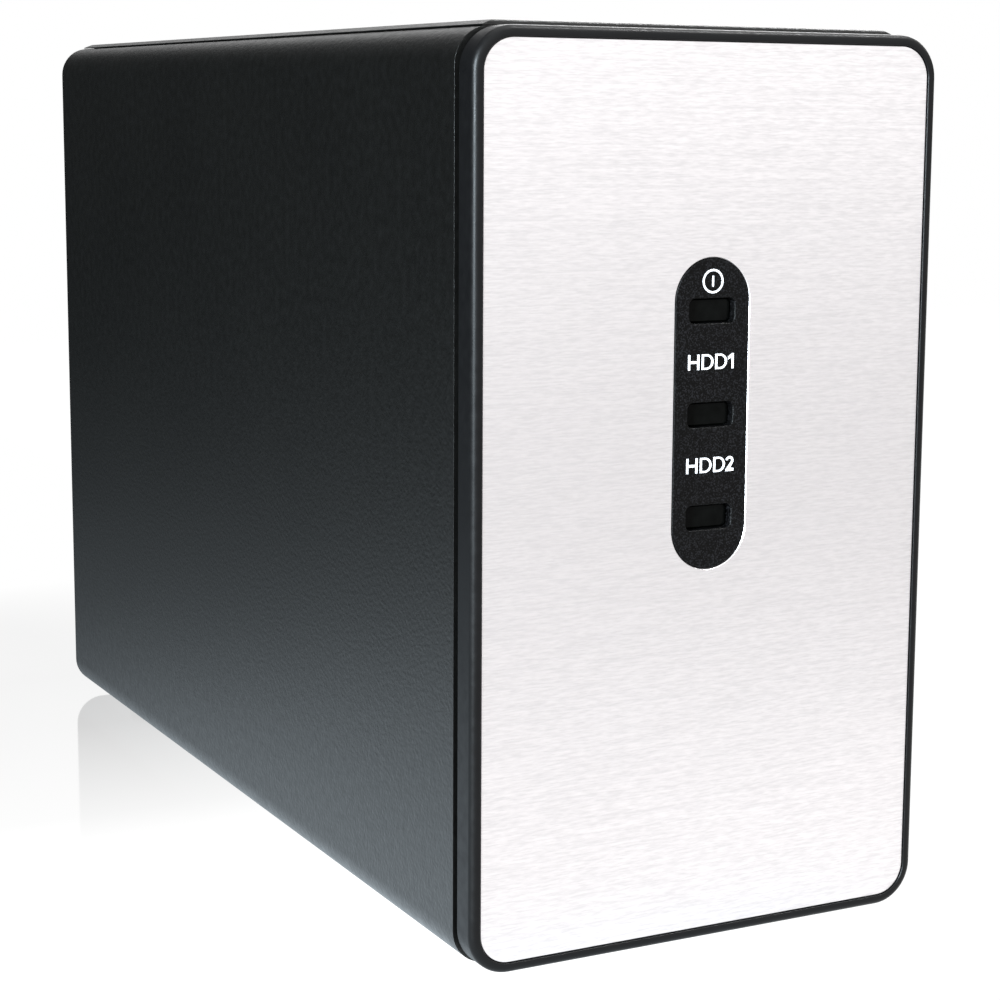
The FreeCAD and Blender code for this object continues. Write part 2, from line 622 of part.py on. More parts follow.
def make_top_cover():
    """Raised lid whose sides slope down to the shell; its two hooked webs run under the top flanges."""
    piece = body("top_cover")
    half = "cover_width / 2"
    crown = "(cover_width / 2 - cover_slope)"
    flat = "(case_width / 2 - case_corner)"
    foot = "cover_z - cover_hem"
    brow = "cover_z + cover_hem"
    pad(piece, "xz", "shell_front", 1, "cover_y + sheet - shell_front",
        polygon(("-" + half, foot), ("-" + flat, "cover_z"), (flat, "cover_z"), (half, foot), (half, brow),
                (crown, "cover_top"), ("-" + crown, "cover_top"), ("-" + half, brow)))
    top = number("cover_top")
    round_edges(piece, "cover_round", lambda box: box.ZMin > top - 0.01)
    span = ("shell_front + cover_web_inset", "panel_in - sheet")
    for low, high in (("-web_half", "-web_half + sheet"), ("web_half - sheet", "web_half")):
        pad(piece, "xy", "cover_z", -1, "cover_z - lip_z + sheet", rectangle(low, high, *span))
    for low, high in (("-web_half - lip_reach + web_gap", "-web_half + sheet"),
                      ("web_half - sheet", "web_half + lip_reach - web_gap")):
        pad(piece, "xy", "lip_z", -1, "sheet", rectangle(low, high, *span))
    pad(piece, "xz", "cover_y", 1, "sheet",
        rectangle("-web_half", "web_half", "cover_z - cover_flange", "cover_z + cover_thick / 4"))
    pocket(piece, "xz", "cover_y", 1, "sheet",
           *[circle(side + "knob_across", "knob_z", "knob_neck + screw_gap") for side in ("-", "")])


def make_thumbscrews():
    """Captive knurled screws that hold the lid to the rear panel."""
    for name, sign in SIDES:
        x = sign + "knob_across"
        head = rod("knob_head", "y", x, "knob_y + screw_gap", "knob_z", "knob_radius",
                   "rear_y + knob_overhang - knob_y - screw_gap")
        neck = rod("knob_neck_rod", "y", x, "cover_y", "knob_z", "knob_neck", "sheet + 2 * screw_gap")
        shank = rod("knob_shank_rod", "y", x, "cover_y - knob_shank_length", "knob_z", "knob_shank",
                    "knob_shank_length + sheet")
        blank = join("knob_blank", [head, neck, shank])
        grooves = []
        for index in range(int(number("knob_grooves"))):
            angle = "(%d * 360 / knob_grooves)" % index
            grooves.append(rod("knob_groove", "y",
                               "%s + knob_radius * cos(%s * 1 deg)" % (x, angle), "knob_y",
                               "knob_z + knob_radius * sin(%s * 1 deg)" % angle,
                               "knob_groove", "rear_y + knob_overhang - knob_y + 1"))
        slot = block("knob_slot", (x + " - knob_slot_reach", x + " + knob_slot_reach"),
                     ("rear_y + knob_overhang - knob_slot_depth", "rear_y + knob_overhang + 1"),
                     ("knob_z - knob_slot_half", "knob_z + knob_slot_half"))
        node(cut("thumbscrew_" + name, blank, grooves + [slot]), "thumbscrew_" + name)


def make_rear_panel():
    """Recessed steel panel with a stamped fan grille and the connector cut-outs."""
    flat = block("panel_flat", ("-panel_half", "panel_half"), ("panel_in", "panel_y"),
                 ("panel_low", "panel_top"))
    document.recompute()
    corner = number("case_corner - wall - panel_margin")
    piece = document.addObject("Part::Fillet", "panel_sheet")
    piece.Base = flat
    piece.Edges = [
        (index, corner, corner)
        for index, edge in enumerate(flat.Shape.Edges, start=1)
        if edge.BoundBox.YLength > edge.BoundBox.XLength + edge.BoundBox.ZLength
    ]
    deep = "sheet + 2"
    start = "panel_in - 1"
    rings = []
    for index in range(int(number("ring_count"))):
        inner = "ring_first + %d * ring_pitch" % index
        disc = rod("ring_disc", "y", "0", start, "fan_up", inner + " + ring_width", deep)
        core = rod("ring_core", "y", "0", start, "fan_up", inner, deep)
        rings.append(cut("ring", disc, [core]))
    reach = "ring_first + (ring_count + 1) * ring_pitch"
    spokes = []
    for angle in SPOKE_ANGLES:
        bar = document.addObject("Part::Box", "spoke")
        bind(bar, Length="2 * (%s)" % reach, Width=deep, Height="spoke_width")
        turn = Rotation(Vector(0, 1, 0), angle)
        corner = Vector(-number(reach), 0, -number("spoke_width") / 2)
        shifted = turn.multVec(corner)
        bar.Placement = Placement(Vector(shifted.x, number(start), number("fan_up") + shifted.z), turn)
        spokes.append(bar)
    grille = cut("grille", join("rings", rings), spokes)
    holes = [grille]
    for side in ("-", ""):
        for z in ("tab_low", "tab_high"):
            holes.append(rod("panel_hole", "y", side + "tab_screw", start, z, "screw_radius + fit_gap",
                             deep))
        for sign in "+-":
            holes.append(rod("fan_hole_cut", "y", side + "fan_holes / 2", start,
                             "fan_up %s fan_holes / 2" % sign, "fan_hole + fit_gap", deep))
        holes.append(rod("nut_hole", "y", side + "knob_across", start, "knob_z",
                         "knob_shank + screw_gap", deep))
    span = (start, "panel_y + 1")
    holes.append(window("jack_cut", "jack_across", "jack_width", "jack_height", span))
    for index in (0, 1):
        holes.append(window("usb_cut", "usb_first + %d * usb_pitch" % index, "usb_width", "usb_height",
                            span))
    holes.append(window("inlet_cut", "inlet_across", "inlet_width", "inlet_height", span))
    holes.append(block("switch_cut", around("switch_across", "switch_width + 2 * fit_gap"), span,
                       around("switch_up", "switch_height + 2 * fit_gap")))
    holes.append(block("lock_slot", around("lock_across", "lock_width"), span,
                       around("lock_up", "lock_height")))
    holes.append(rod("reset_cut", "y", "reset_across", start, "board_z + reset_height / 2",
                     "reset_hole", deep))
    node(cut("rear_panel", piece, holes), "rear_panel")
    nuts = []
    for side in ("-", ""):
        ring = rod("nut_body", "y", side + "knob_across", "panel_in - nut_thick", "knob_z",
                   "nut_radius", "nut_thick")
        bore = rod("nut_bore", "y", side + "knob_across", "panel_in - nut_thick - 1", "knob_z",
                   "knob_shank + screw_gap", "nut_thick + 2")
        nuts.append(cut("cover_nut", ring, [bore]))
    group("cover_nuts", nuts)
    screws = [screw("panel_screw", "y", -1, side + "tab_screw", "panel_y", z, "panel_screw_length")
              for side in ("-", "") for z in ("tab_low", "tab_high")]
    group("rear_panel_screws", screws)


def around(centre, width):
    return ("(%s) - (%s) / 2" % (centre, width), "(%s) + (%s) / 2" % (centre, width))


def window(name, x, width, height, span):
    """A cut-out around a connector that stands on the mainboard."""
    return block(name, around(x, width + " + 4 * fit_gap"), span,
                 ("board_z - 2 * fit_gap", "board_z + (%s) + 2 * fit_gap" % height))


def make_feet():
    """Rubber feet, each pulled into the floor by its own stem."""
    for end, y in (("front", "front_y + foot_inset"), ("rear", "rear_y - foot_inset")):
        for side, sign in SIDES:
            name = "foot_%s_%s" % (end, side)
            x = sign + "foot_across"
            pieces = [
                rod(name + "_disc", "z", x, y, "0", "foot_radius", "foot_height"),
                rod(name + "_stem", "z", x, y, "foot_height", "foot_stem", "wall"),
                rod(name + "_bulb", "z", x, y, "floor_z", "foot_bulb", "foot_bulb_height"),
            ]
            node(join(name, pieces), name)


# ---------------------------------------------------------------- fan

def make_fan():
    frame = body("fan_frame", y="fan_y", z="fan_up")
    face = "-fan_thick / 2"
    flange = rounded("0", "0", "fan_size", "fan_size", "fan_corner")
    pad(frame, "xz", face, 1, "fan_flange", flange)
    pad(frame, "xz", face, 1, "fan_thick", circle("0", "0", "fan_size / 2 - fit_gap"))
    pad(frame, "xz", "fan_thick / 2", -1, "fan_flange", flange)
    pocket(frame, "xz", face, 1, "fan_thick", circle("0", "0", "fan_bore"))
    pocket(frame, "xz", face, 1, "fan_thick",
           *[circle(a + "fan_holes / 2", b + "fan_holes / 2", "fan_hole")
             for a in ("-", "") for b in ("-", "")])
    reach = "fan_bore + strut_root"
    half = "strut_width / 2"
    pad(frame, "xz", "fan_thick / 2", -1, "strut_depth", rectangle("-(%s)" % reach, reach, "-" + half, half))
    pad(frame, "xz", "fan_thick / 2", -1, "strut_depth", rectangle("-" + half, half, "-(%s)" % reach, reach))
    pad(frame, "xz", "fan_thick / 2", -1, "strut_depth", circle("0", "0", "hub_radius"))

    motor = body("fan_motor", y="fan_y", z="fan_up")
    pad(motor, "xz", "-motor_front", 1, "motor_seat + motor_front", circle("0", "0", "motor_radius"),
        circle("0", "0", "shaft_radius + screw_gap"))

    rotor = body("fan_rotor", y="fan_y", z="fan_up")
    inner = "hub_radius - hub_wall"
    revolve(rotor, polygon(("-hub_front", "0"), ("-hub_front", "hub_radius"), ("hub_rear", "hub_radius"),
                           ("hub_rear", inner), ("-hub_front + hub_wall", inner),
                           ("-hub_front + hub_wall", "shaft_radius"), ("shaft_end", "shaft_radius"),
                           ("shaft_end", "0")))
    sections = []
    for radius, chord, angle in (
            ("hub_radius - hub_wall / 2", "blade_chord_root", "blade_angle_root"),
            ("blade_tip", "blade_chord_tip", "blade_angle_tip")):
        edge = rectangle("-%s / 2" % chord, "%s / 2" % chord, "-blade_thick / 2", "blade_thick / 2")
        sections.append(outline(rotor, "yz", radius, [edge], turn=angle))
    blade = rotor.newObject("PartDesign::AdditiveLoft", "blade")
    blade.Profile = sections[0]
    blade.Sections = [sections[1]]
    document.recompute()
    pattern(rotor, "PolarPattern", blade, "Y_Axis", "blade_count", Angle="360")

    screws = [screw("fan_screw", "y", -1, side + "fan_holes / 2", "panel_y",
                    "fan_up %s fan_holes / 2" % sign, "fan_screw_length", "fan_hole - screw_gap")
              for side in ("-", "") for sign in "+-"]
    group("fan_screws", screws)


# ---------------------------------------------------------------- drives

def drive_hole_places():
    rear = "drive_rear - drive_hole_rear"
    for y in (rear, rear + " - drive_hole_pitch"):
        for sign in "+-":
            yield y, "drive_mid %s drive_hole_span / 2" % sign


def make_drive(index, sign, toward):
    """A hard drive on its long edge; its board side faces the cage wall."""
    name = "drive_%d_" % index
    inner = sign + "(drive_in + drive_lid)"
    outer = sign + "drive_out"
    casting = body(name + "casting")
    middle = "(drive_front + drive_rear) / 2"
    pad(casting, "yz", inner, toward, "drive_thick - drive_lid",
        rounded(middle, "drive_mid", "drive_length", "drive_height", "drive_corner"))
    pocket(casting, "yz", inner, toward, "drive_thick - drive_lid - drive_floor",
           rounded(middle, "drive_mid", "drive_length - 2 * drive_rim", "drive_height - 2 * drive_rim",
                   "drive_bay_corner"))
    board_mid = "drive_rear - drive_board_inset - drive_board_length / 2"
    pocket(casting, "yz", outer, -toward, "drive_recess",
           rounded(board_mid, "drive_mid", "drive_board_length", "drive_height - 2 * drive_side_margin",
                   "drive_recess_corner"))
    pocket(casting, "yz", outer, -toward, "drive_hole_depth",
           *[circle(y, z, "screw_radius + screw_gap") for y, z in drive_hole_places()])
    plug_z = "drive_low + plug_up"
    pocket(casting, "yz", outer, -toward, "drive_recess + plug_thick",
           rectangle("drive_rear - plug_depth", "drive_rear + 1", plug_z + " - plug_length / 2",
                     plug_z + " + plug_length / 2"))

    lid = body(name + "lid")
    pad(lid, "yz", inner, -toward, "drive_lid",
        rounded(middle, "drive_mid", "drive_length - 2 * lid_margin", "drive_height - 2 * lid_margin",
                "lid_corner"))
    pocket(lid, "yz", sign + "drive_in", toward, "drive_lid / 2",
           *[circle("%s %s lid_screw_along" % (middle, a), "drive_mid %s lid_screw_up" % b,
                    "lid_screw_radius") for a in "+-" for b in "+-"],
           circle(middle + " - spindle_back", "drive_mid", "spindle_radius"),
           circle(middle + " + arm_ahead", "drive_mid + arm_up", "arm_radius"))

    board = body(name + "board")
    board_low = board_mid + " - drive_board_length / 2 + drive_board_gap"
    board_high = "drive_rear - plug_depth"
    pad(board, "yz", sign + "(drive_out - drive_recess)", toward, "drive_board_thick",
        rounded("(%s + %s) / 2" % (board_low, board_high), "drive_mid",
                "%s - (%s)" % (board_high, board_low),
                "drive_height - 2 * (drive_side_margin + drive_board_gap)", "drive_recess_corner"))

    plug = body(name + "plug")
    pad(plug, "yz", sign + "(drive_out - drive_recess + drive_board_thick)", -toward,
        "plug_thick",
        rectangle("drive_rear - plug_depth", "drive_rear", plug_z + " - plug_length / 2 + fit_gap",
                  plug_z + " + plug_length / 2 - fit_gap"))
    pocket(plug, "yz", sign + "(drive_out - drive_recess + drive_board_thick)", -toward,
           "plug_well",
           rectangle("drive_rear - plug_depth / 2", "drive_rear + 1",
                     plug_z + " - plug_length / 2 + plug_wall", plug_z + " + plug_length / 2 - plug_wall"))


def make_drives():
    make_drive(1, "-", -1)
    make_drive(2, "", 1)
    screws = []
    for sign, toward in (("-", 1), ("", -1)):
        for y, z in drive_hole_places():
            screws.append(screw("drive_screw", "x", toward, sign + "(drive_out + sheet)", y, z,
                                "drive_screw_length"))
    group("drive_screws", screws)


def ledge_places():
    """Where the tray is screwed down on the shell's ledges."""
    for side in ("-", ""):
        for y in ("ledge_front", "ledge_rear"):
            yield side + "ledge_screw", y


def make_cage():
    """Steel tray across the case, with a wall outside each drive."""
    piece = body("drive_cage")
    pad(piece, "xy", "cage_up", 1, "sheet", rectangle("-cage_half", "cage_half", "cage_front", "cage_rear"))
    for sign, toward in (("-", -1), ("", 1)):
        pad(piece, "yz", sign + "drive_out", toward, "sheet",
            rectangle("cage_front", "cage_rear", "cage_up + sheet / 2", "cage_wall_top"))
        pocket(piece, "yz", sign + "drive_out", toward, "sheet",
               *[rounded("cage_front + %s + vent_length / 2" % y, "drive_mid + vent_rise", "vent_length",
                         "vent_height", "vent_corner") for y in ("vent_first", "vent_second")],
               *[circle(y, z, "screw_radius + fit_gap") for y, z in drive_hole_places()])
    pocket(piece, "xy", "cage_up", 1, "sheet",
           *[circle(x, y, "screw_radius + fit_gap") for x, y in ledge_places()])
    slots = pocket(piece, "xy", "cage_up", 1, "sheet",
                   *[rounded("tray_slot_first", "tray_slot_middle %s" % shift, "tray_slot_width",
                             "tray_slot_length", "tray_slot_corner")
                     for shift in ("- tray_slot_pitch", "", "+ tray_slot_pitch")])
    pattern(piece, "LinearPattern", slots, "X_Axis", "tray_slot_count", Length="tray_slot_span")


# ---------------------------------------------------------------- boards

def make_backplane():
    """Upright board behind the drives, plugged into a slot on the mainboard."""
    piece = body("backplane")
    pad(piece, "xz", "backplane_y", 1, "board_thick",
        rectangle("-backplane_half", "backplane_half", "cage_up + backplane_shoulder", "backplane_top"))
    pad(piece, "xz", "backplane_y", 1, "board_thick",
        rectangle("-slot_half + 2 * slot_wall", "slot_half - 2 * slot_wall", "backplane_low",
                  "cage_up + backplane_shoulder + sheet"))
    pocket(piece, "xz", "backplane_y", 1, "board_thick",
           *[rounded(step + " * high_vent_pitch", "high_vent_up", "high_vent_width", "high_vent_height",
                     "backplane_vent_corner") for step in ("-1.5", "-0.5", "0.5", "1.5")],
           *[rounded(step + " * low_vent_pitch", "low_vent_up", "low_vent_width", "low_vent_height",
                     "backplane_vent_corner") for step in ("-1", "0", "1")])
    for index, (_, sign) in enumerate(SIDES, start=1):
        name = "sata_socket_%d" % index
        x = sign + "(drive_out - drive_recess + drive_board_thick - plug_thick / 2)"
        z = "drive_low + plug_up"
        shell = block(name + "_block", around(x, "2 * socket_half"),
                      ("drive_rear + fit_gap", "backplane_y"), around(z, "plug_length"))
        slit = block(name + "_slit", around(x, "slit_width"), ("drive_rear", "backplane_y - slit_wall"),
                     around(z, "plug_length - 4 * slit_wall"))
        node(cut(name, shell, [slit]), name)
    base = block("slot_block", ("-slot_half", "slot_half"),
                 ("backplane_y + board_thick / 2 - slot_depth / 2",
                  "backplane_y + board_thick / 2 + slot_depth / 2"),
                 ("board_z", "board_z + slot_height"))
    groove = block("slot_groove", ("-slot_half + slot_wall", "slot_half - slot_wall"),
                   ("backplane_y - fit_gap", "backplane_y + board_thick + fit_gap"),
                   ("backplane_low - fit_gap", "board_z + slot_height + 1"))
    node(cut("backplane_slot", base, [groove]), "backplane_slot")


def standoff_places():
    for side in ("-", ""):
        for y in ("standoff_front", "standoff_rear"):
            yield side + "standoff_across", y


def make_mainboard():
    piece = body("mainboard")
    pad(piece, "xy", "board_z", -1, "board_thick",
        rounded("0", "(board_front + board_rear) / 2", "2 * board_half", "board_rear - board_front",
                "board_corner"),
        *[circle(x, y, "screw_radius + fit_gap") for x, y in standoff_places()])
    posts = []
    screws = []
    for x, y in standoff_places():
        post = rod("post", "z", x, y, "floor_z", "standoff_radius", "board_lift")
        bore = rod("post_bore", "z", x, y, "floor_z + post_base", "screw_radius + screw_gap", "board_lift")
        posts.append(cut("standoff", post, [bore]))
        screws.append(screw("board_fixing", "z", -1, x, y, "board_z", "board_thick + fixing_bite"))
    group("board_standoffs", posts)
    for x, y in ledge_places():
        screws.append(screw("tray_fixing", "z", -1, x, y, "cage_up + sheet", "board_thick + fixing_bite"))
    group("board_and_tray_screws", screws)


def make_processor():
    node(block("processor", around("chip_across", "chip_side"), around("chip_along", "chip_side"),
               ("board_z", "sink_z")), "processor")
    sink = body("heat_sink", x="chip_across", y="chip_along", z="sink_z")
    half = "sink_side / 2"
    pad(sink, "xy", "0", 1, "sink_base", rectangle("-" + half, half, "-" + half, half))
    fin = pad(sink, "xy", "sink_base", 1, "sink_height - sink_base",
              rectangle("-" + half, "-%s + fin_thick" % half, "-" + half, half))
    pattern(sink, "LinearPattern", fin, "X_Axis", "fin_count", Length="sink_side - fin_thick")


def make_board_parts():
    chips = []
    for x in ("memory_left", "memory_right"):
        for y in ("memory_front", "memory_rear"):
            chips.append(block("memory_chip", around(x, "memory_width"), around(y, "memory_length"),
                               ("board_z", "board_z + memory_thick")))
    for x, y, side in CONTROL_CHIPS:
        chips.append(block("control_chip", around(x, side), around(y, side),
                           ("board_z", "board_z + chip_thick")))
    group("board_chips", chips)
    cell_z = "board_z + cell_lift"
    node(rod("clock_battery", "z", "cell_across", "cell_along", cell_z, "cell_radius", "cell_thick"),
         "clock_battery")
    ring = rod("holder_disc", "z", "cell_across", "cell_along", "board_z", "cell_radius + holder_wall",
               "holder_height")
    seat = rod("holder_seat", "z", "cell_across", "cell_along", cell_z, "cell_radius + fit_gap",
               "holder_height")
    node(cut("battery_holder", ring, [seat]), "battery_holder")
    cans = [rod("capacitor", "z", x, y, "board_z", "can_radius", "can_height") for x, y in CAPACITORS]
    group("capacitors", cans)


def make_connectors():
    """Sockets on the rear edge of the mainboard; their faces stand just proud of the panel."""
    jack = block("jack_body", around("jack_across", "jack_width"), ("port_y - jack_depth", "port_y"),
                 ("board_z", "board_z + jack_height"))
    mouth = block("jack_mouth_cut", around("jack_across", "jack_mouth"),
                  ("port_y - jack_reach", "port_y + 1"),
                  ("board_z + jack_floor", "board_z + jack_floor + jack_mouth_height"))
    key = block("jack_key_cut", around("jack_across", "jack_key"), ("port_y - jack_reach", "port_y + 1"),
                ("board_z + jack_floor - jack_key_height", "board_z + jack_floor + 1"))
    node(cut("ethernet_jack", jack, [mouth, key]), "ethernet_jack")
    for index in (1, 2):
        x = "usb_first + %d * usb_pitch" % (index - 1)
        shell = block("usb_shell", around(x, "usb_width"), ("port_y - usb_depth", "port_y"),
                      ("board_z", "board_z + usb_height"))
        mouth = block("usb_mouth_cut", around(x, "usb_mouth"), ("port_y - usb_reach", "port_y + 1"),
                      around("board_z + usb_height / 2", "usb_mouth_height"))
        leaf_low = "board_z + usb_height / 2 + usb_leaf_lift"
        leaf = block("usb_leaf_block", around(x, "usb_tongue"),
                     ("port_y - usb_reach - 1", "port_y - usb_leaf_setback"),
                     (leaf_low, leaf_low + " + usb_leaf"))
        name = "usb_socket_%d" % index
        node(join(name, [cut(name + "_can", shell, [mouth]), leaf]), name)
    inlet = block("inlet_block", around("inlet_across", "inlet_width"), ("port_y - inlet_depth", "port_y"),
                  ("board_z", "board_z + inlet_height"))
    bore = rod("inlet_bore_cut", "y", "inlet_across", "port_y - inlet_reach", "board_z + inlet_height / 2",
               "inlet_bore", "inlet_reach + 1")
    pin = rod("inlet_pin_rod", "y", "inlet_across", "port_y - inlet_reach - 1",
              "board_z + inlet_height / 2", "inlet_pin", "inlet_reach")
    node(join("power_inlet", [cut("inlet_can", inlet, [bore]), pin]), "power_inlet")


def make_power_switch():
    """Snap-in rocker switch above the power inlet."""
    shell = block("switch_shell", around("switch_across", "switch_width"),
                  ("panel_y - switch_depth", "panel_y"), around("switch_up", "switch_height"))
    rim = block("switch_rim_block", around("switch_across", "switch_width + 2 * switch_rim"),
                ("panel_y", "panel_y + switch_rim_thick"),
                around("switch_up", "switch_height + 2 * switch_rim"))
    well = block("switch_well", around("switch_across", "rocker_width + 2 * rocker_gap"),
                 ("pivot_y - switch_well_depth", "panel_y + 2 * switch_rim_thick"),
                 around("switch_up", "switch_height - 3 * rocker_gap"))
    hole = rod("switch_pivot_hole", "x", "switch_across - pivot_length / 2 - rocker_gap / 2", "pivot_y",
               "switch_up", "pivot_radius + screw_gap", "pivot_length + rocker_gap")
    node(cut("power_switch_body", join("switch_blank", [shell, rim]), [well, hole]), "power_switch_body")

    rocker = body("power_rocker", x="switch_across", y="pivot_y", z="switch_up")
    rocker.Placement = Placement(rocker.Placement.Base, Rotation(Vector(1, 0, 0), -number("rocker_tilt")))
    pad(rocker, "yz", "-rocker_width / 2", 1, "rocker_width",
        polygon(("rocker_proud", "rocker_half"), ("rocker_dip", "0"), ("rocker_proud", "-rocker_half"),
                ("-rocker_chin", "-rocker_half + rocker_tuck"), ("-rocker_keel", "-rocker_keel_half"),
                ("-rocker_keel", "rocker_keel_half"), ("-rocker_chin", "rocker_half - rocker_tuck")))
    pad(rocker, "yz", "-pivot_length / 2", 1, "pivot_length", circle("0", "0", "pivot_radius"))


def make_reset():
    """Tact switch behind the panel, pressed through a small hole."""
    z = "board_z + reset_height / 2"
    rear = "panel_in - reset_setback"
    shell = block("reset_shell", around("reset_across", "reset_side"), (rear + " - reset_depth", rear),
                  ("board_z", "board_z + reset_height"))
    bore = rod("reset_bore_cut", "y", "reset_across", rear + " - reset_bore", z,
               "reset_rod + screw_gap", "reset_bore + 1")
    node(cut("reset_switch", shell, [bore]), "reset_switch")
    node(rod("reset_button", "y", "reset_across", "panel_y - slide_gap - reset_length", z, "reset_rod",
             "reset_length"), "reset_button")


def make_cables():
    """Leads inside the case, each to its header on the mainboard."""
    behind = "indicator_y + indicator_thick"
    drop = behind + " + cable_bend + lead_run"
    fan_front = "fan_y - fan_thick / 2"
    header_y = "board_front + header_inset"
    cable("indicator_cable", [
        ("0", behind, "lead_up"), ("0", drop, "lead_up"), ("0", drop, "lead_low"),
        ("0", header_y, "lead_low"),
    ])
    fan_drop = fan_front + " - fan_lead_run"
    cable("fan_cable", [
        ("fan_lead_across", fan_front, "fan_lead_up"), ("fan_lead_across", fan_drop, "fan_lead_up"),
        ("fan_lead_across", fan_drop, "board_z + header_height"),
    ])
    switch_front = "panel_y - switch_depth"
    switch_drop = switch_front + " - switch_lead_run"
    cable("switch_cable", [
        ("switch_across", switch_front, "switch_up"), ("switch_across", switch_drop, "switch_up"),
        ("switch_across", switch_drop, "board_z + header_height"),
    ])
    headers = []
    for x, y in (("0", "(%s) + header_length / 2" % header_y), ("fan_lead_across", fan_drop),
                 ("switch_across", switch_drop)):
        headers.append(block("header", around(x, "header_width"), around(y, "header_length"),
                             ("board_z", "board_z + header_height")))
    group("cable_headers", headers)


def check_and_write():
    document.recompute()
    for item in document.Objects:
        if "Invalid" in item.State or "Error" in item.State:
            raise ValueError("%s (%s) is %s" % (item.Label, item.Name, item.State))
    for item in nodes:
        if item.Shape.isNull() or not item.Shape.isValid():
            raise ValueError("%s has no valid shape" % item.Label)
        if not item.Shape.Solids:
            raise ValueError("%s has no solid" % item.Label)
    os.makedirs("parts", exist_ok=True)
    for item in nodes:
        item.Shape.exportStep("parts/%s.step" % item.Label)
        box = item.Shape.optimalBoundingBox(False)
        print("%-22s solids %2d  volume %9.1f  x %.1f %.1f  y %.1f %.1f  z %.1f %.1f" % (
            item.Label, len(item.Shape.Solids), item.Shape.Volume,
            box.XMin, box.XMax, box.YMin, box.YMax, box.ZMin, box.ZMax))
    print(len(nodes), "nodes")


fill_sheet()
make_bezel()
make_plate()
make_insert()
make_light_pipes()
make_indicator_board()
make_bezel_screws()
make_shell()
make_chassis_plate()
make_top_cover()
make_thumbscrews()
make_rear_panel()
make_feet()
make_fan()
make_drives()
make_cage()
make_backplane()
make_mainboard()
make_processor()
make_board_parts()
make_connectors()
make_power_switch()
make_reset()
make_cables()
check_and_write()
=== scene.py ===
import math

import bmesh
import bpy
from mathutils import Matrix, Vector


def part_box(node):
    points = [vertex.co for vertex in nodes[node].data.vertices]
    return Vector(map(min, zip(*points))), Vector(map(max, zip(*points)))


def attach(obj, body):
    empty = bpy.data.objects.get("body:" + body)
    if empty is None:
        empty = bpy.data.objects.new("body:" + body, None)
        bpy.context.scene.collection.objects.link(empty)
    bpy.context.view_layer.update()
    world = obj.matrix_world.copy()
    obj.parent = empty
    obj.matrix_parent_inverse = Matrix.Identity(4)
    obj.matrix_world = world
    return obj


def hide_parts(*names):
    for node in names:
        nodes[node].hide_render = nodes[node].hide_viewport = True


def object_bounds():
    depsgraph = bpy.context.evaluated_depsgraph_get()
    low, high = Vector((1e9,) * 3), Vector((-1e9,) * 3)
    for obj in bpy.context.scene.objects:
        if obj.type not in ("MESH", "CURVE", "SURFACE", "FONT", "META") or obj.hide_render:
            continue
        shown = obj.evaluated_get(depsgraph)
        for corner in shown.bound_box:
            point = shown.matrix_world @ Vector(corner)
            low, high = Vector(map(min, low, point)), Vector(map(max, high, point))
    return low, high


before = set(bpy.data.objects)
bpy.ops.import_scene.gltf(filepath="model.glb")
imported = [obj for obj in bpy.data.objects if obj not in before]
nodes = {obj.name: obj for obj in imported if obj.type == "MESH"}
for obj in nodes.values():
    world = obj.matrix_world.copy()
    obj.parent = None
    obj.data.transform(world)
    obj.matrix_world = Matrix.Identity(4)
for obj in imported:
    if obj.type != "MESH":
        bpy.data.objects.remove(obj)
cad_low, cad_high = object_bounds()

MM = 0.001
TINY = 1e-6

# ---------------------------------------------------------------- sizes

# Bezel, plate and insert, in metres. Places along Y come from the frame.
CORNER = 7.5 * MM
FRONT_ROUND = 1.3 * MM
LIP = 1.85 * MM
LIP_ROUND = 0.2 * MM
REAR_ROUND = 0.35 * MM
NECK_INSET = 2 * MM
NECK_WALL = 2 * MM
WEB = 2 * MM
RIM_DEPTH = 5.6 * MM
FIT = 0.1 * MM
PLATE_ROUND = 0.12 * MM
INSERT_ROUND = 0.3 * MM
INSERT_RIM = 2 * MM
INSERT_RIM_THICK = 1.2 * MM
WINDOW_GAP = 0.05 * MM
WINDOW_CORNER = 1.05 * MM
WINDOW_ROUND = 0.32 * MM
LENS_CORNER = 0.8 * MM
LENS_CHAMFER = 0.32 * MM

# Printed legends: capital height, and stroke as a share of it.
CAPITAL = 2.66 * MM
STROKE = 0.165
INK = 0.02 * MM
POWER_RADIUS = 2.1 * MM
POWER_STROKE = 0.37 * MM
POWER_BAR = 1.9 * MM
POWER_RISE = 5.1 * MM
LEGEND_DROP = 8.78 * MM

LEGEND_STARTS = (0, 1.03, 2.06, 3.0)
LEGEND_LENGTH = 3.57

CORNER_STEPS = 14
WINDOW_STEPS = 6
SHARP_ANGLE = math.radians(32)
FLAT_ANGLE = math.radians(0.8)
EDGE_WIDTH = 0.15 * MM
EDGE_WIDTHS = {"body_shell": 0.3 * MM}
FLOOR_HALF = 6.0
CAMERA_LENS = 83.46
CAMERA_RIGHT = Vector((0.88129, -0.47249, 0.00901))
CAMERA_AHEAD = Vector((0.46806, 0.87009, -0.15445))
CAMERA_PLACE = Vector((-0.21133, -0.45369, 0.14877))

bezel_low, bezel_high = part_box("front_bezel")
plate_low, plate_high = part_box("front_plate")
insert_low, insert_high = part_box("indicator_insert")
lens_boxes = {name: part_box("light_pipe_" + name) for name in ("power", "hdd1", "hdd2")}

WIDTH = bezel_high.x - bezel_low.x
HEIGHT = bezel_high.z - bezel_low.z
MIDDLE_Z = (bezel_low.z + bezel_high.z) / 2
INSERT_Z = (insert_low.z + insert_high.z) / 2
INSERT_WIDTH = insert_high.x - insert_low.x - 2 * INSERT_RIM
INSERT_LENGTH = insert_high.z - insert_low.z - 2 * INSERT_RIM


# ---------------------------------------------------------------- material nodes

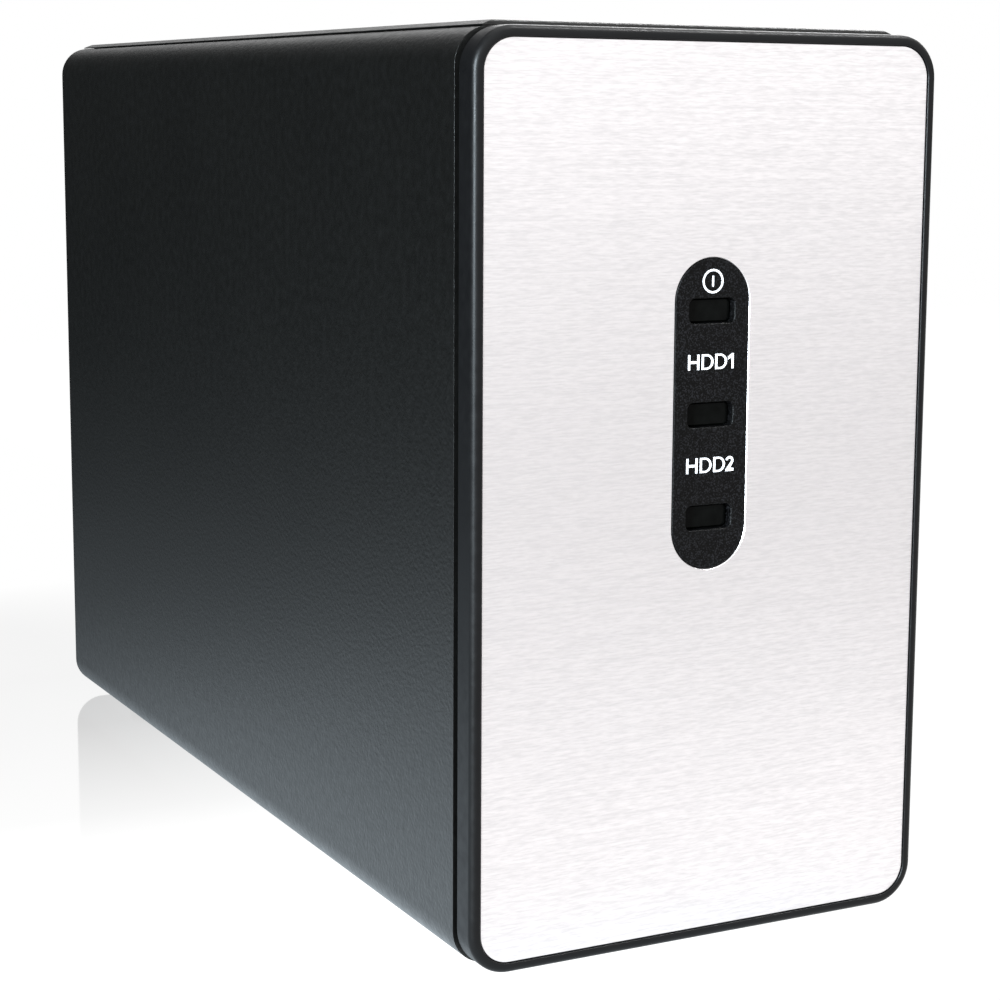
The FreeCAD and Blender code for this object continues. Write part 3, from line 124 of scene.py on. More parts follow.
def tree_of(name):
    """A new node material with only a Principled shader in it."""
    material = bpy.data.materials.new(name)
    material.use_nodes = True
    tree = material.node_tree
    shader = next(n for n in tree.nodes if n.type == "BSDF_PRINCIPLED")
    return material, tree, shader


def millimetres(tree, stretch=(1, 1, 1)):
    """Object coordinates in millimetres, each axis multiplied by its stretch."""
    source = tree.nodes.new("ShaderNodeTexCoord")
    scale = tree.nodes.new("ShaderNodeMapping")
    scale.inputs["Scale"].default_value = [s / MM for s in stretch]
    tree.links.new(source.outputs["Object"], scale.inputs["Vector"])
    return scale.outputs["Vector"]


def noise(tree, vector, scale, detail=2.0, rough=0.5):
    node = tree.nodes.new("ShaderNodeTexNoise")
    node.inputs["Scale"].default_value = scale
    node.inputs["Detail"].default_value = detail
    node.inputs["Roughness"].default_value = rough
    tree.links.new(vector, node.inputs["Vector"])
    return node.outputs["Fac"]


def cells(tree, vector, scale, feature="F1", output="Distance"):
    node = tree.nodes.new("ShaderNodeTexVoronoi")
    node.feature = feature
    node.inputs["Scale"].default_value = scale
    tree.links.new(vector, node.inputs["Vector"])
    return node.outputs[output]


def remap(tree, value, low, high, start=0.3, end=0.7):
    """Spread a texture's start..end over low..high."""
    node = tree.nodes.new("ShaderNodeMapRange")
    for name, number in (("From Min", start), ("From Max", end), ("To Min", low), ("To Max", high)):
        node.inputs[name].default_value = number
    tree.links.new(value, node.inputs["Value"])
    return node.outputs["Result"]


def blend(tree, factor, first, second):
    """A colour between two colours, each a tuple or another node's output."""
    node = tree.nodes.new("ShaderNodeMix")
    node.data_type = "RGBA"
    tree.links.new(factor, node.inputs["Factor"])
    for socket, colour in (("A", first), ("B", second)):
        target = [i for i in node.inputs if i.name == socket and i.type == "RGBA"][0]
        if isinstance(colour, tuple):
            target.default_value = (*colour, 1)
        else:
            tree.links.new(colour, target)
    return next(o for o in node.outputs if o.type == "RGBA")


def combine(tree, operation, first, second):
    node = tree.nodes.new("ShaderNodeMath")
    node.operation = operation
    for socket, value in zip(node.inputs, (first, second)):
        if isinstance(value, (int, float)):
            socket.default_value = value
        else:
            tree.links.new(value, socket)
    return node.outputs[0]


def weighted(tree, first, share, second, rest):
    """The sum of two values, each times its share."""
    scaled = combine(tree, "MULTIPLY", first, share)
    return combine(tree, "ADD", scaled, combine(tree, "MULTIPLY", second, rest))


def bump(tree, shader, height, depth, strength=1.0):
    """Raise the surface by depth (metres) where height is 1."""
    node = tree.nodes.new("ShaderNodeBump")
    node.inputs["Distance"].default_value = depth
    node.inputs["Strength"].default_value = strength
    tree.links.new(height, node.inputs["Height"])
    tree.links.new(node.outputs["Normal"], shader.inputs["Normal"])


def tint(colour, amount):
    return tuple(min(1.0, c * amount) for c in colour)


def grained(name, colour, roughness, grain, depth, metallic=0.0, spread=0.06, vary=0.12, speckle=0.0,
            **sockets):
    """A material with a fine grain: grain is in bumps per millimetre and depth in metres."""
    material, tree, shader = tree_of(name)
    space = millimetres(tree)
    broad = noise(tree, space, 0.08, 4)
    fine = noise(tree, space, grain, 3)
    colours = blend(tree, remap(tree, broad, 0, 1), tint(colour, 1 - vary), tint(colour, 1 + vary))
    if speckle:
        colours = blend(tree, remap(tree, fine, speckle, 0, 0.45, 0.62), colours, (0, 0, 0))
    tree.links.new(colours, shader.inputs["Base Color"])
    rough = remap(tree, noise(tree, space, grain / 5, 3), roughness - spread, roughness + spread)
    tree.links.new(rough, shader.inputs["Roughness"])
    bump(tree, shader, fine, depth)
    shader.inputs["Metallic"].default_value = metallic
    for socket, value in sockets.items():
        shader.inputs[socket.replace("_", " ")].default_value = value
    return material


def powder_coat(name, colour, roughness, pebble, depth):
    """Baked powder paint: rounded pebbles over a slow orange-peel wave."""
    material, tree, shader = tree_of(name)
    space = millimetres(tree)
    broad = remap(tree, noise(tree, space, 0.03, 3), 0, 1)
    tree.links.new(blend(tree, broad, tint(colour, 0.9), tint(colour, 1.1)), shader.inputs["Base Color"])
    pebbles = cells(tree, space, pebble, "SMOOTH_F1")
    peel = noise(tree, space, pebble * 0.8, 2.5, 0.55)
    height = combine(tree, "ADD", combine(tree, "MULTIPLY", pebbles, -0.5), peel)
    bump(tree, shader, height, depth)
    rough = remap(tree, noise(tree, space, 0.5, 4), roughness - 0.04, roughness + 0.04)
    tree.links.new(rough, shader.inputs["Roughness"])
    return material


def brushed(name, colour, roughness, along, depth, strength=0.35):
    """Metal brushed along one axis: streaks long on that axis and very fine across it."""
    material, tree, shader = tree_of(name)
    stretch = [0.02 if axis == along else 1.0 for axis in range(3)]
    space = millimetres(tree, stretch)
    fine = noise(tree, space, 9.0, 4, 0.7)
    coarse = noise(tree, space, 1.6, 4, 0.6)
    short = [0.12 if axis == along else 1.0 for axis in range(3)]
    flecks = noise(tree, millimetres(tree, short), 3.6, 2, 0.6)
    streaks = weighted(tree, fine, 0.35, flecks, 0.65)
    mixed = weighted(tree, streaks, 0.7, coarse, 0.3)
    tree.links.new(blend(tree, remap(tree, mixed, 0, 1, 0.4, 0.6), tint(colour, 0.87), tint(colour, 1.07)),
                   shader.inputs["Base Color"])
    tree.links.new(remap(tree, mixed, roughness + 0.06, roughness - 0.05), shader.inputs["Roughness"])
    bump(tree, shader, streaks, depth, strength)
    shader.inputs["Metallic"].default_value = 1.0
    return material


def galvanised(name, colour, roughness):
    """Zinc-coated sheet with its crystal spangle."""
    material, tree, shader = tree_of(name)
    space = millimetres(tree)
    crystals = cells(tree, space, 0.16, "F1", "Color")
    split = tree.nodes.new("ShaderNodeSeparateColor")
    tree.links.new(crystals, split.inputs["Color"])
    grade = split.outputs["Red"]
    tree.links.new(blend(tree, grade, tint(colour, 0.86), tint(colour, 1.08)), shader.inputs["Base Color"])
    tree.links.new(remap(tree, grade, roughness - 0.06, roughness + 0.1, 0, 1), shader.inputs["Roughness"])
    bump(tree, shader, noise(tree, space, 2.5, 4), 0.01 * MM)
    shader.inputs["Metallic"].default_value = 1.0
    return material


def circuit_board(name):
    """Solder mask over copper tracks that run square and at 45 degrees."""
    material, tree, shader = tree_of(name)
    space = millimetres(tree)
    brick = tree.nodes.new("ShaderNodeTexBrick")
    brick.inputs["Scale"].default_value = 0.36
    brick.inputs["Mortar Size"].default_value = 0.05
    brick.inputs["Mortar Smooth"].default_value = 0.0
    brick.inputs["Bias"].default_value = -0.3
    brick.offset = 0.37
    tree.links.new(space, brick.inputs["Vector"])
    turned = tree.nodes.new("ShaderNodeMapping")
    turned.inputs["Rotation"].default_value = (0.4, 0.3, math.radians(45))
    tree.links.new(space, turned.inputs["Vector"])
    lanes = tree.nodes.new("ShaderNodeTexWave")
    lanes.inputs["Scale"].default_value = 0.22
    lanes.inputs["Distortion"].default_value = 0.0
    tree.links.new(turned.outputs["Vector"], lanes.inputs["Vector"])
    lane = remap(tree, lanes.outputs["Fac"], 0, 1, 0.62, 0.68)
    zone = remap(tree, noise(tree, space, 0.05, 1), 0, 1, 0.47, 0.5)
    tracks = combine(tree, "MAXIMUM", brick.outputs["Fac"], combine(tree, "MULTIPLY", lane, zone))
    vias = remap(tree, cells(tree, space, 0.3), 1, 0, 0.1, 0.14)
    mask = blend(tree, tracks, (0.006, 0.055, 0.026), (0.016, 0.125, 0.05))
    tree.links.new(blend(tree, vias, mask, (0.42, 0.36, 0.22)), shader.inputs["Base Color"])
    tree.links.new(remap(tree, noise(tree, space, 1.5, 3), 0.26, 0.4), shader.inputs["Roughness"])
    bump(tree, shader, tracks, 0.03 * MM)
    return material


def smoked_acrylic(name):
    """Dark polished light pipe, faintly cloudy inside."""
    material, tree, shader = tree_of(name)
    space = millimetres(tree)
    cloud = noise(tree, space, 0.6, 3)
    tree.links.new(blend(tree, remap(tree, cloud, 0, 1), (0.0008, 0.0009, 0.0008), (0.002, 0.0022, 0.002)),
                   shader.inputs["Base Color"])
    tree.links.new(remap(tree, noise(tree, space, 2, 2), 0.1, 0.18), shader.inputs["Roughness"])
    bump(tree, shader, cloud, 0.02 * MM)
    shader.inputs["Specular IOR Level"].default_value = 0.08
    return material


FINISHES = {
    "bezel_plastic": grained("satin_black_plastic", (0.003, 0.003, 0.0032), 0.38, 3.0, 0.008 * MM,
                             Specular_IOR_Level=0.17),
    "brushed_plate": brushed("brushed_aluminium", (0.925, 0.893, 0.9), 0.36, 0, 0.006 * MM),
    "insert_plastic": grained("matt_black_plastic", (0.0082, 0.0082, 0.0092), 0.42, 3.6, 0.09 * MM,
                              speckle=1.6, Specular_IOR_Level=0.12),
    "smoked_lens": smoked_acrylic("smoked_acrylic"),
    "case_paint": powder_coat("black_powder_coat", (0.002, 0.002, 0.0018), 0.34, 1.5, 0.06 * MM),
    "panel_paint": powder_coat("black_panel_coat", (0.014, 0.014, 0.015), 0.46, 1.8, 0.04 * MM),
    "zinc_sheet": galvanised("galvanised_steel", (0.62, 0.63, 0.65), 0.36),
    "screw_steel": grained("zinc_plated_screw", (0.66, 0.65, 0.6), 0.28, 6.0, 0.01 * MM, 1.0),
    "black_screw": grained("blackened_screw", (0.03, 0.03, 0.032), 0.34, 6.0, 0.01 * MM, 0.6),
    "nickel": grained("bright_nickel", (0.72, 0.7, 0.66), 0.22, 6.0, 0.008 * MM, 1.0),
    "foot_rubber": grained("black_rubber", (0.012, 0.012, 0.012), 0.75, 2.0, 0.05 * MM),
    "fan_plastic": grained("fan_plastic", (0.014, 0.014, 0.015), 0.42, 3.0, 0.02 * MM),
    "circuit_board": circuit_board("green_circuit_board"),
    "connector_plastic": grained("black_nylon", (0.02, 0.02, 0.022), 0.5, 4.0, 0.015 * MM),
    "connector_metal": grained("tinned_steel", (0.7, 0.7, 0.7), 0.24, 2.5, 0.015 * MM, 1.0),
    "chip_epoxy": grained("chip_epoxy", (0.017, 0.017, 0.018), 0.55, 8.0, 0.01 * MM),
    "sink_aluminium": brushed("extruded_aluminium", (0.78, 0.79, 0.8), 0.3, 1, 0.01 * MM),
    "can_aluminium": grained("capacitor_can", (0.75, 0.76, 0.78), 0.25, 5.0, 0.01 * MM, 1.0),
    "cell_steel": brushed("battery_steel", (0.78, 0.77, 0.74), 0.25, 0, 0.006 * MM),
    "lamp_body": grained("ivory_nylon", (0.72, 0.69, 0.6), 0.45, 4.0, 0.01 * MM),
    "drive_casting": grained("cast_aluminium", (0.5, 0.51, 0.52), 0.45, 3.0, 0.04 * MM, 1.0),
    "drive_lid_steel": brushed("drive_lid_steel", (0.68, 0.69, 0.7), 0.26, 1, 0.006 * MM),
    "lead_sheath": grained("black_lead_sheath", (0.02, 0.02, 0.022), 0.45, 3.0, 0.02 * MM),
    "switch_plastic": grained("black_switch_plastic", (0.016, 0.016, 0.017), 0.32, 4.0, 0.01 * MM),
}
LEGEND_INK = grained("white_legend_ink", (0.82, 0.82, 0.84), 0.5, 6.0, 0.006 * MM)


# ---------------------------------------------------------------- mesh helpers

def rounded_loop(width, height, radius, centre_z, y, steps=CORNER_STEPS):
    """A rounded rectangle in a plane of constant Y."""
    points = []
    for quarter, (side_x, side_z) in enumerate(((1, 1), (-1, 1), (-1, -1), (1, -1))):
        centre = (side_x * (width / 2 - radius), centre_z + side_z * (height / 2 - radius))
        for step in range(steps + 1):
            angle = (quarter + step / steps) * math.pi / 2
            points.append(Vector((centre[0] + radius * math.cos(angle), y,
                                  centre[1] + radius * math.sin(angle))))
    return points


def round_profile(corners, steps=4):
    """The points of a closed profile; each corner is (inset, y, radius)."""
    points = []
    count = len(corners)
    for index, (inset, y, radius) in enumerate(corners):
        here = Vector((inset, y))
        if radius == 0:
            points.append(here)
            continue
        back = (Vector(corners[index - 1][:2]) - here).normalized()
        ahead = (Vector(corners[(index + 1) % count][:2]) - here).normalized()
        start = here + back * radius
        centre = start + ahead * radius
        for step in range(steps + 1):
            angle = step / steps * math.pi / 2
            points.append(centre - ahead * radius * math.cos(angle) - back * radius * math.sin(angle))
    return points


def arc_steps(first, last, steps):
    return [math.radians(first + (last - first) * step / steps) for step in range(steps + 1)]


def arc(x, z, radius, first, last, steps):
    """Points (x, z) of an arc between two angles in degrees."""
    return [(x + radius * math.cos(a), z + radius * math.sin(a)) for a in arc_steps(first, last, steps)]


def fill_face(mesh, rows):
    """Close a flat face between rows of vertices: its outline, then its holes."""
    edges = []
    for row in rows:
        edges += [mesh.edges.get(pair) or mesh.edges.new(pair) for pair in zip(row, row[1:] + row[:1])]
    bmesh.ops.triangle_fill(mesh, edges=edges, use_beauty=True)


def slab(mesh, y_front, y_back, outline, *holes):
    """A flat solid between two places on Y; outlines are lists of (x, z)."""
    fronts = []
    backs = []
    for line in (outline, *holes):
        rows = skin(mesh, [[Vector((x, y, z)) for x, z in line] for y in (y_front, y_back)])
        fronts.append(rows[0])
        backs.append(rows[1])
    fill_face(mesh, fronts)
    fill_face(mesh, backs)


def skin(mesh, loops, closed=False):
    """Join loops of equal length with quads, round each loop and from loop to loop."""
    rows = [[mesh.verts.new(point) for point in loop] for loop in loops]
    pairs = list(zip(rows, rows[1:] + rows[:1])) if closed else list(zip(rows, rows[1:]))
    for first, second in pairs:
        for index in range(len(first)):
            following = (index + 1) % len(first)
            mesh.faces.new((first[index], first[following], second[following], second[index]))
    return rows


def clean(mesh):
    bmesh.ops.remove_doubles(mesh, verts=mesh.verts, dist=TINY)
    bmesh.ops.dissolve_degenerate(mesh, edges=mesh.edges, dist=TINY)
    bmesh.ops.recalc_face_normals(mesh, faces=mesh.faces)


def piece(name, mesh, slot, body, stands_for=(), material=None):
    """Turn a bmesh into a piece of the object that rides on a body."""
    clean(mesh)
    for face in mesh.faces:
        face.smooth = True
    for edge in mesh.edges:
        edge.smooth = edge.is_manifold and edge.calc_face_angle(0) < SHARP_ANGLE
    data = bpy.data.meshes.new(name)
    mesh.to_mesh(data)
    mesh.free()
    data.materials.append(material or FINISHES[slot])
    item = bpy.data.objects.new(name, data)
    bpy.context.scene.collection.objects.link(item)
    normals = item.modifiers.new("weighted_normals", "WEIGHTED_NORMAL")
    normals.keep_sharp = True
    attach(item, body)
    for node in stands_for:
        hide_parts(node)


def finish_node(node, width):
    """Give a carried-over CAD node its material, merged faces and slightly rounded edges."""
    slot = node.data.materials[0].name
    node.data.materials[0] = FINISHES[slot]
    node.data.shade_smooth()
    weld = node.modifiers.new("weld", "WELD")
    weld.merge_threshold = TINY
    planar = node.modifiers.new("planar", "DECIMATE")
    planar.decimate_type = "DISSOLVE"
    planar.angle_limit = FLAT_ANGLE
    edges = node.modifiers.new("edges", "BEVEL")
    edges.width = width
    edges.segments = 2
    edges.limit_method = "ANGLE"
    edges.angle_limit = SHARP_ANGLE
    normals = node.modifiers.new("weighted_normals", "WEIGHTED_NORMAL")
    normals.keep_sharp = True


# ---------------------------------------------------------------- front

def bezel_loop(inset, y):
    return rounded_loop(WIDTH - 2 * inset, HEIGHT - 2 * inset, max(CORNER - inset, LIP_ROUND), MIDDLE_Z, y)


def stadium_loop(width, length, y):
    return rounded_loop(width, length, width / 2, INSERT_Z, y)


def build_bezel():
    """The moulded ring: one profile carried round the case, with a web that holds the insert."""
    front = bezel_low.y
    seat = plate_high.y
    web_rear = seat + WEB
    rim_rear = front + RIM_DEPTH
    neck_rear = bezel_high.y
    profile = round_profile([
        (NECK_INSET, rim_rear, 0),
        (0, rim_rear, REAR_ROUND),
        (0, front, FRONT_ROUND),
        (LIP, front, LIP_ROUND),
        (LIP, seat, 0),
    ], 8)
    loops = [bezel_loop(*point) for point in profile]
    hole = (INSERT_WIDTH + 2 * FIT, INSERT_LENGTH + 2 * FIT)
    loops.append(stadium_loop(*hole, seat))
    loops.append(stadium_loop(*hole, web_rear))
    inner = NECK_INSET + NECK_WALL
    loops += [bezel_loop(inner, web_rear), bezel_loop(inner, neck_rear), bezel_loop(NECK_INSET, neck_rear)]
    mesh = bmesh.new()
    skin(mesh, loops, closed=True)
    piece("bezel", mesh, "bezel_plastic", "case", ["front_bezel"])


def build_plate():
    """The brushed plate, with its edges just broken and a stadium hole."""
    width = plate_high.x - plate_low.x
    height = plate_high.z - plate_low.z
    radius = CORNER - LIP - FIT
    hole = (INSERT_WIDTH + 2 * FIT, INSERT_LENGTH + 2 * FIT)
    mesh = bmesh.new()
    loops = []
    for inset, y in ((0, plate_high.y), (0, plate_low.y + PLATE_ROUND), (PLATE_ROUND, plate_low.y)):
        loops.append(rounded_loop(width - 2 * inset, height - 2 * inset, radius - inset, MIDDLE_Z, y))
    for grow, y in ((PLATE_ROUND, plate_low.y), (0, plate_low.y + PLATE_ROUND), (0, plate_high.y)):
        loops.append(stadium_loop(hole[0] + 2 * grow, hole[1] + 2 * grow, y))
    skin(mesh, loops, closed=True)
    piece("plate", mesh, "brushed_plate", "case", ["front_plate"])


def build_insert():
    """Stadium moulding with three windows, its edges softly rounded, and a rim behind the web."""
    front = insert_low.y
    back = insert_high.y
    step = back - INSERT_RIM_THICK
    mesh = bmesh.new()
    outer = []
    for angle in arc_steps(0, 90, 5):
        inset = INSERT_ROUND * (1 - math.sin(angle))
        y = front + INSERT_ROUND * (1 - math.cos(angle))
        outer.append(stadium_loop(INSERT_WIDTH - 2 * inset, INSERT_LENGTH - 2 * inset, y))
    rim = (INSERT_WIDTH + 2 * INSERT_RIM, INSERT_LENGTH + 2 * INSERT_RIM)
    outer.append(stadium_loop(INSERT_WIDTH, INSERT_LENGTH, step))
    outer += [stadium_loop(*rim, step), stadium_loop(*rim, back)]
    rows = skin(mesh, outer)
    fronts = [rows[0]]
    backs = [rows[-1]]
    for low, high in lens_boxes.values():
        width = high.x - low.x + 2 * WINDOW_GAP
        height = high.z - low.z + 2 * WINDOW_GAP
        centre = (low.z + high.z) / 2
        loops = []
        for angle in arc_steps(0, 90, 3):
            grow = WINDOW_ROUND * (1 - math.sin(angle))
            y = front + WINDOW_ROUND * (1 - math.cos(angle))
            loops.append(rounded_loop(width + 2 * grow, height + 2 * grow, WINDOW_CORNER + grow,
                                      centre, y, WINDOW_STEPS))
        loops.append(rounded_loop(width, height, WINDOW_CORNER, centre, back, WINDOW_STEPS))
        rows = skin(mesh, loops)
        fronts.append(rows[0])
        backs.append(rows[-1])
    fill_face(mesh, fronts)
    fill_face(mesh, backs)
    piece("insert", mesh, "insert_plastic", "case", ["indicator_insert"])


def build_lenses():
    """Light pipes whose polished ends are bevelled all round inside their windows."""
    for name, (low, high) in lens_boxes.items():
        width = high.x - low.x
        height = high.z - low.z
        centre = (low.z + high.z) / 2
        loops = []
        for inset, y in ((LENS_CHAMFER, low.y), (0, low.y + LENS_CHAMFER)):
            loops.append(rounded_loop(width - 2 * inset, height - 2 * inset, LENS_CORNER - inset / 2,
                                      centre, y, WINDOW_STEPS))
        loops.append(rounded_loop(width, height, LENS_CORNER, centre, high.y, WINDOW_STEPS))
        mesh = bmesh.new()
        rows = skin(mesh, loops)
        fill_face(mesh, [rows[0]])
        fill_face(mesh, [rows[-1]])
        piece("lens_" + name, mesh, "smoked_lens", "case", ["light_pipe_" + name])


# ---------------------------------------------------------------- legends

def letter_h(width=0.86):
    low = (1 - STROKE) / 2
    high = (1 + STROKE) / 2
    inner = width - STROKE
    return [[(0, 0), (STROKE, 0), (STROKE, low), (inner, low), (inner, 0), (width, 0),
             (width, 1), (inner, 1), (inner, high), (STROKE, high), (STROKE, 1), (0, 1)]]


def letter_d(width=0.9):
    """A straight back and a half ellipse, with its counter as a hole."""
    lines = []
    for inset, thin in ((0, 0), (STROKE, 0.04)):
        half = 0.5 - inset + thin
        bow = width * 0.42
        line = [(inset, 0.5 + half), (inset, 0.5 - half)]
        line += [(bow + (width - bow - inset) * math.cos(a), 0.5 + half * math.sin(a))
                 for a in arc_steps(-90, 90, 12)]
        lines.append(line)
    return lines


def digit_1():
    foot = 0.31
    return [[(foot, 0), (foot + STROKE, 0), (foot + STROKE, 1), (foot + 0.04, 1), (0.03, 0.8),
             (0.03, 0.58), (foot, 0.72)]]


def digit_2():
    """A hook that runs down to a flat foot."""
    centre = (0.31, 0.7)
    outer = 0.3
    line = arc(*centre, outer, 172, -42, 14)
    line += [(0.36, 0.2), (0.62, 0.2), (0.62, 0), (0, 0), (0.04, 0.16)]
    line += arc(*centre, outer - STROKE, -48, 172, 12)
    return [line]


def build_legends():
    """Generic bay numbers and a power sign, printed as thin layers of ink on the insert."""
    front = insert_low.y
    for number, digit, window in (("1", digit_1, "power"), ("2", digit_2, "hdd1")):
        low, high = lens_boxes[window]
        base = (low.z + high.z) / 2 - LEGEND_DROP - CAPITAL / 2
        mesh = bmesh.new()
        for start, lines in zip(LEGEND_STARTS, (letter_h(), letter_d(), letter_d(), digit())):
            left = start - LEGEND_LENGTH / 2
            placed = [[((x + left) * CAPITAL, base + z * CAPITAL) for x, z in line] for line in lines]
            slab(mesh, front - INK, front + INK, *placed)
        piece("legend_bay_" + number, mesh, "insert_plastic", "case", material=LEGEND_INK)
    low, high = lens_boxes["power"]
    middle = (low.z + high.z) / 2 + POWER_RISE
    mesh = bmesh.new()
    rings = []
    for radius in (POWER_RADIUS, POWER_RADIUS - POWER_STROKE):
        rings.append(arc(0, middle, radius, 0, 350, 35))
    slab(mesh, front - INK, front + INK, *rings)
    half = POWER_STROKE / 2
    reach = POWER_BAR / 2 - half
    bar = arc(0, middle - reach, half, 180, 360, 6) + arc(0, middle + reach, half, 0, 180, 6)
    slab(mesh, front - INK, front + INK, bar)
    piece("legend_power", mesh, "insert_plastic", "case", material=LEGEND_INK)


build_bezel()
build_plate()
build_insert()
build_lenses()
build_legends()
for name, node in nodes.items():
    if not node.hide_render:
        finish_node(node, EDGE_WIDTHS.get(name, EDGE_WIDTH))


# ---------------------------------------------------------------- stage, light and camera

def stops(tree, value, low, high, points):
    """Piecewise linear strength along a value; points are (place between low and high, strength)."""
    node = tree.nodes.new("ShaderNodeValToRGB")
    ramp = node.color_ramp
    while len(ramp.elements) < len(points):
        ramp.elements.new(0.5)
    top = max(strength for _, strength in points)
    for element, (place, strength) in zip(ramp.elements, points):
        element.position = (place - low) / (high - low)
        element.color = (strength / top,) * 3 + (1,)
    tree.links.new(remap(tree, value, 0, 1, low, high), node.inputs["Fac"])
    return combine(tree, "MULTIPLY", node.outputs["Color"], top)


def build_world():
    """White to camera rays; to other rays bright in front, above and low right, dark elsewhere."""
    world = bpy.data.worlds.new("studio")
    bpy.context.scene.world = world
    world.use_nodes = True
    tree = world.node_tree
    background = next(n for n in tree.nodes if n.type == "BACKGROUND")
    background.inputs["Color"].default_value = (1, 1, 1, 1)
    path = tree.nodes.new("ShaderNodeLightPath")
    side = tree.nodes.new("ShaderNodeTexCoord")
    split = tree.nodes.new("ShaderNodeSeparateXYZ")
    tree.links.new(side.outputs["Generated"], split.inputs["Vector"])
    across, along, up = split.outputs
    by_front = stops(tree, along, -1, 1, [(-1, 1.35), (-0.6, 1.26), (-0.3, 0.35), (0.1, 0.02), (1, 0.02)])
    by_right = stops(tree, across, -1, 1, [(-1, 0.0), (0.0, 0.02), (0.2, 1.0), (1, 1.0)])
    low_rear = stops(tree, up, -1, 1, [(-1, 0.03), (0.19, 0.03), (0.23, 1.0), (1, 1.0)])
    overhead = stops(tree, up, -1, 1, [(-1, 0), (0.25, 0.02), (0.6, 0.2), (1, 0.5)])
    right = combine(tree, "MULTIPLY", by_right, low_rear)
    strength = combine(tree, "MAXIMUM", combine(tree, "MAXIMUM", by_front, right), overhead)
    seen = combine(tree, "MAXIMUM", path.outputs["Is Camera Ray"], strength)
    tree.links.new(seen, background.inputs["Strength"])


def softbox(name, place, aim, width, height, power, colour=(1, 1, 1)):
    light = bpy.data.lights.new(name, "AREA")
    light.shape = "RECTANGLE"
    light.size = width
    light.size_y = height
    light.energy = power
    light.color = colour
    item = bpy.data.objects.new(name, light)
    bpy.context.scene.collection.objects.link(item)
    item.location = place
    item.rotation_mode = "QUATERNION"
    item.rotation_quaternion = (Vector(aim) - Vector(place)).to_track_quat("-Z", "Y")


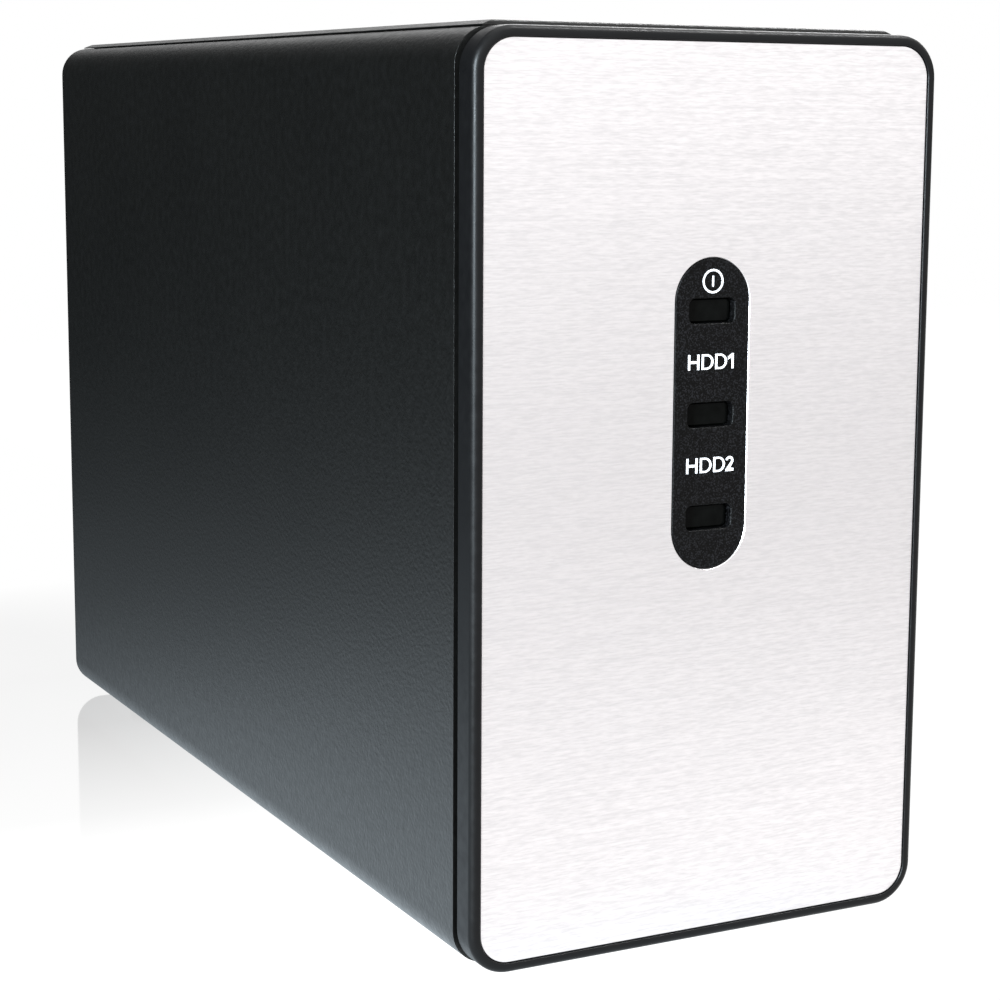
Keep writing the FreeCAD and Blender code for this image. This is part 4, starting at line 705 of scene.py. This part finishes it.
def build_floor():
    """A sheet white to camera rays, with a faint mirror beside and behind the object's left side. To other
    rays it glows as painted light: strength graded along Y, brightest beside the object's front left and
    fading behind it, and bluish on the left from the object's front backwards. This glow lights the case
    and shows in its reflections.
    """
    mesh = bmesh.new()
    sides = ((-1, -1), (1, -1), (1, 1), (-1, 1))
    corners = [mesh.verts.new((x * FLOOR_HALF, y * FLOOR_HALF, cad_low.z)) for x, y in sides]
    mesh.faces.new(corners)
    data = bpy.data.meshes.new("floor")
    mesh.to_mesh(data)
    mesh.free()
    item = bpy.data.objects.new("floor", data)
    bpy.context.scene.collection.objects.link(item)
    material, tree, shader = tree_of("pale_sheet")
    tree.nodes.remove(shader)
    path = tree.nodes.new("ShaderNodeLightPath")
    where = tree.nodes.new("ShaderNodeTexCoord")
    split = tree.nodes.new("ShaderNodeSeparateXYZ")
    tree.links.new(where.outputs["Object"], split.inputs["Vector"])
    # Painted light: the floor's glow to other rays, graded along Y, with one ramp for its left half and one
    # for its right half.
    left = stops(tree, split.outputs["Y"], -1, 2, [
        (-0.6, 0.8), (-0.15, 1.0), (-0.09, 1.4), (0.05, 0.84), (0.14, 0.44), (0.22, 0.25), (0.45, 0.09),
        (0.9, 0.02), (2, 0.01)])
    front = stops(tree, split.outputs["Y"], -4, 1, [
        (-4, 1.1), (-2, 0.85), (-1, 0.5), (-0.5, 0.52), (-0.3, 0.84), (-0.16, 1.08), (1, 1.0)])
    side = stops(tree, split.outputs["X"], -1, 1, [(-1, 0), (-0.04, 0), (0.06, 1), (1, 1)])
    lit = tree.nodes.new("ShaderNodeMix")
    for socket, value in (("Factor", side), ("A", left), ("B", front)):
        tree.links.new(value, lit.inputs[socket])
    strength = combine(tree, "MAXIMUM", path.outputs["Is Camera Ray"], lit.outputs["Result"])
    glow = tree.nodes.new("ShaderNodeEmission")
    tree.links.new(strength, glow.inputs["Strength"])
    # Painted light: the glow is white ahead of the object, on the right and to camera rays, and bluish on
    # the left from the object's front backwards.
    ahead = stops(tree, split.outputs["Y"], -1, 1, [(-1, 1), (-0.14, 1), (-0.1, 0), (1, 0)])
    neutral = combine(tree, "MAXIMUM", path.outputs["Is Camera Ray"], combine(tree, "MAXIMUM", side, ahead))
    tree.links.new(blend(tree, neutral, (0.86, 0.98, 1.07), (1.0, 1.0, 1.0)), glow.inputs["Color"])
    gloss = tree.nodes.new("ShaderNodeBsdfGlossy")
    gloss.inputs["Roughness"].default_value = 0.06
    mix = tree.nodes.new("ShaderNodeMixShader")
    mirror = stops(tree, split.outputs["Y"], -0.1, 0.3, [
        (-0.1, 0.0), (-0.03, 0.02), (0.01, 0.08), (0.08, 0.33), (0.13, 0.42), (0.25, 0.0)])
    mirror = combine(tree, "MULTIPLY", mirror, combine(tree, "SUBTRACT", 1, side))
    tree.links.new(combine(tree, "MULTIPLY", mirror, path.outputs["Is Camera Ray"]), mix.inputs["Fac"])
    tree.links.new(glow.outputs["Emission"], mix.inputs[1])
    tree.links.new(gloss.outputs["BSDF"], mix.inputs[2])
    output = next(n for n in tree.nodes if n.type == "OUTPUT_MATERIAL")
    tree.links.new(mix.outputs["Shader"], output.inputs["Surface"])
    data.materials.append(material)


def build_camera():
    camera = bpy.data.cameras.new("camera")
    camera.sensor_width = 36
    camera.lens = CAMERA_LENS
    camera.shift_x = -0.06
    camera.shift_y = -0.03
    camera.clip_start = 0.02
    item = bpy.data.objects.new("camera", camera)
    bpy.context.scene.collection.objects.link(item)
    right = CAMERA_RIGHT.normalized()
    ahead = (CAMERA_AHEAD - right * CAMERA_AHEAD.dot(right)).normalized()
    up = right.cross(ahead)
    turn = Matrix((right, up, -ahead)).transposed().to_4x4()
    item.matrix_world = Matrix.Translation(CAMERA_PLACE) @ turn
    bpy.context.scene.camera = item


build_world()
build_floor()
build_camera()
softbox("left_strip", (-1.35, -0.78, 0.42), (0, -0.1, 0.16), 0.5, 0.5, 90, (0.8, 0.92, 1.0))
softbox("overhead_strip", (0.605, -0.213, 1.087), (0, -0.116, 0.11), 0.17, 0.14, 5.5)
softbox("overhead_softbox", (0.1, -0.1, 1.25), (0, 0, 0.08), 1.0, 1.0, 5)
softbox("right_rear_softbox", (0.9, 1.1, 0.8), (0, 0.05, 0.09), 0.8, 0.8, 12)
bpy.context.scene.view_settings.view_transform = "Standard"
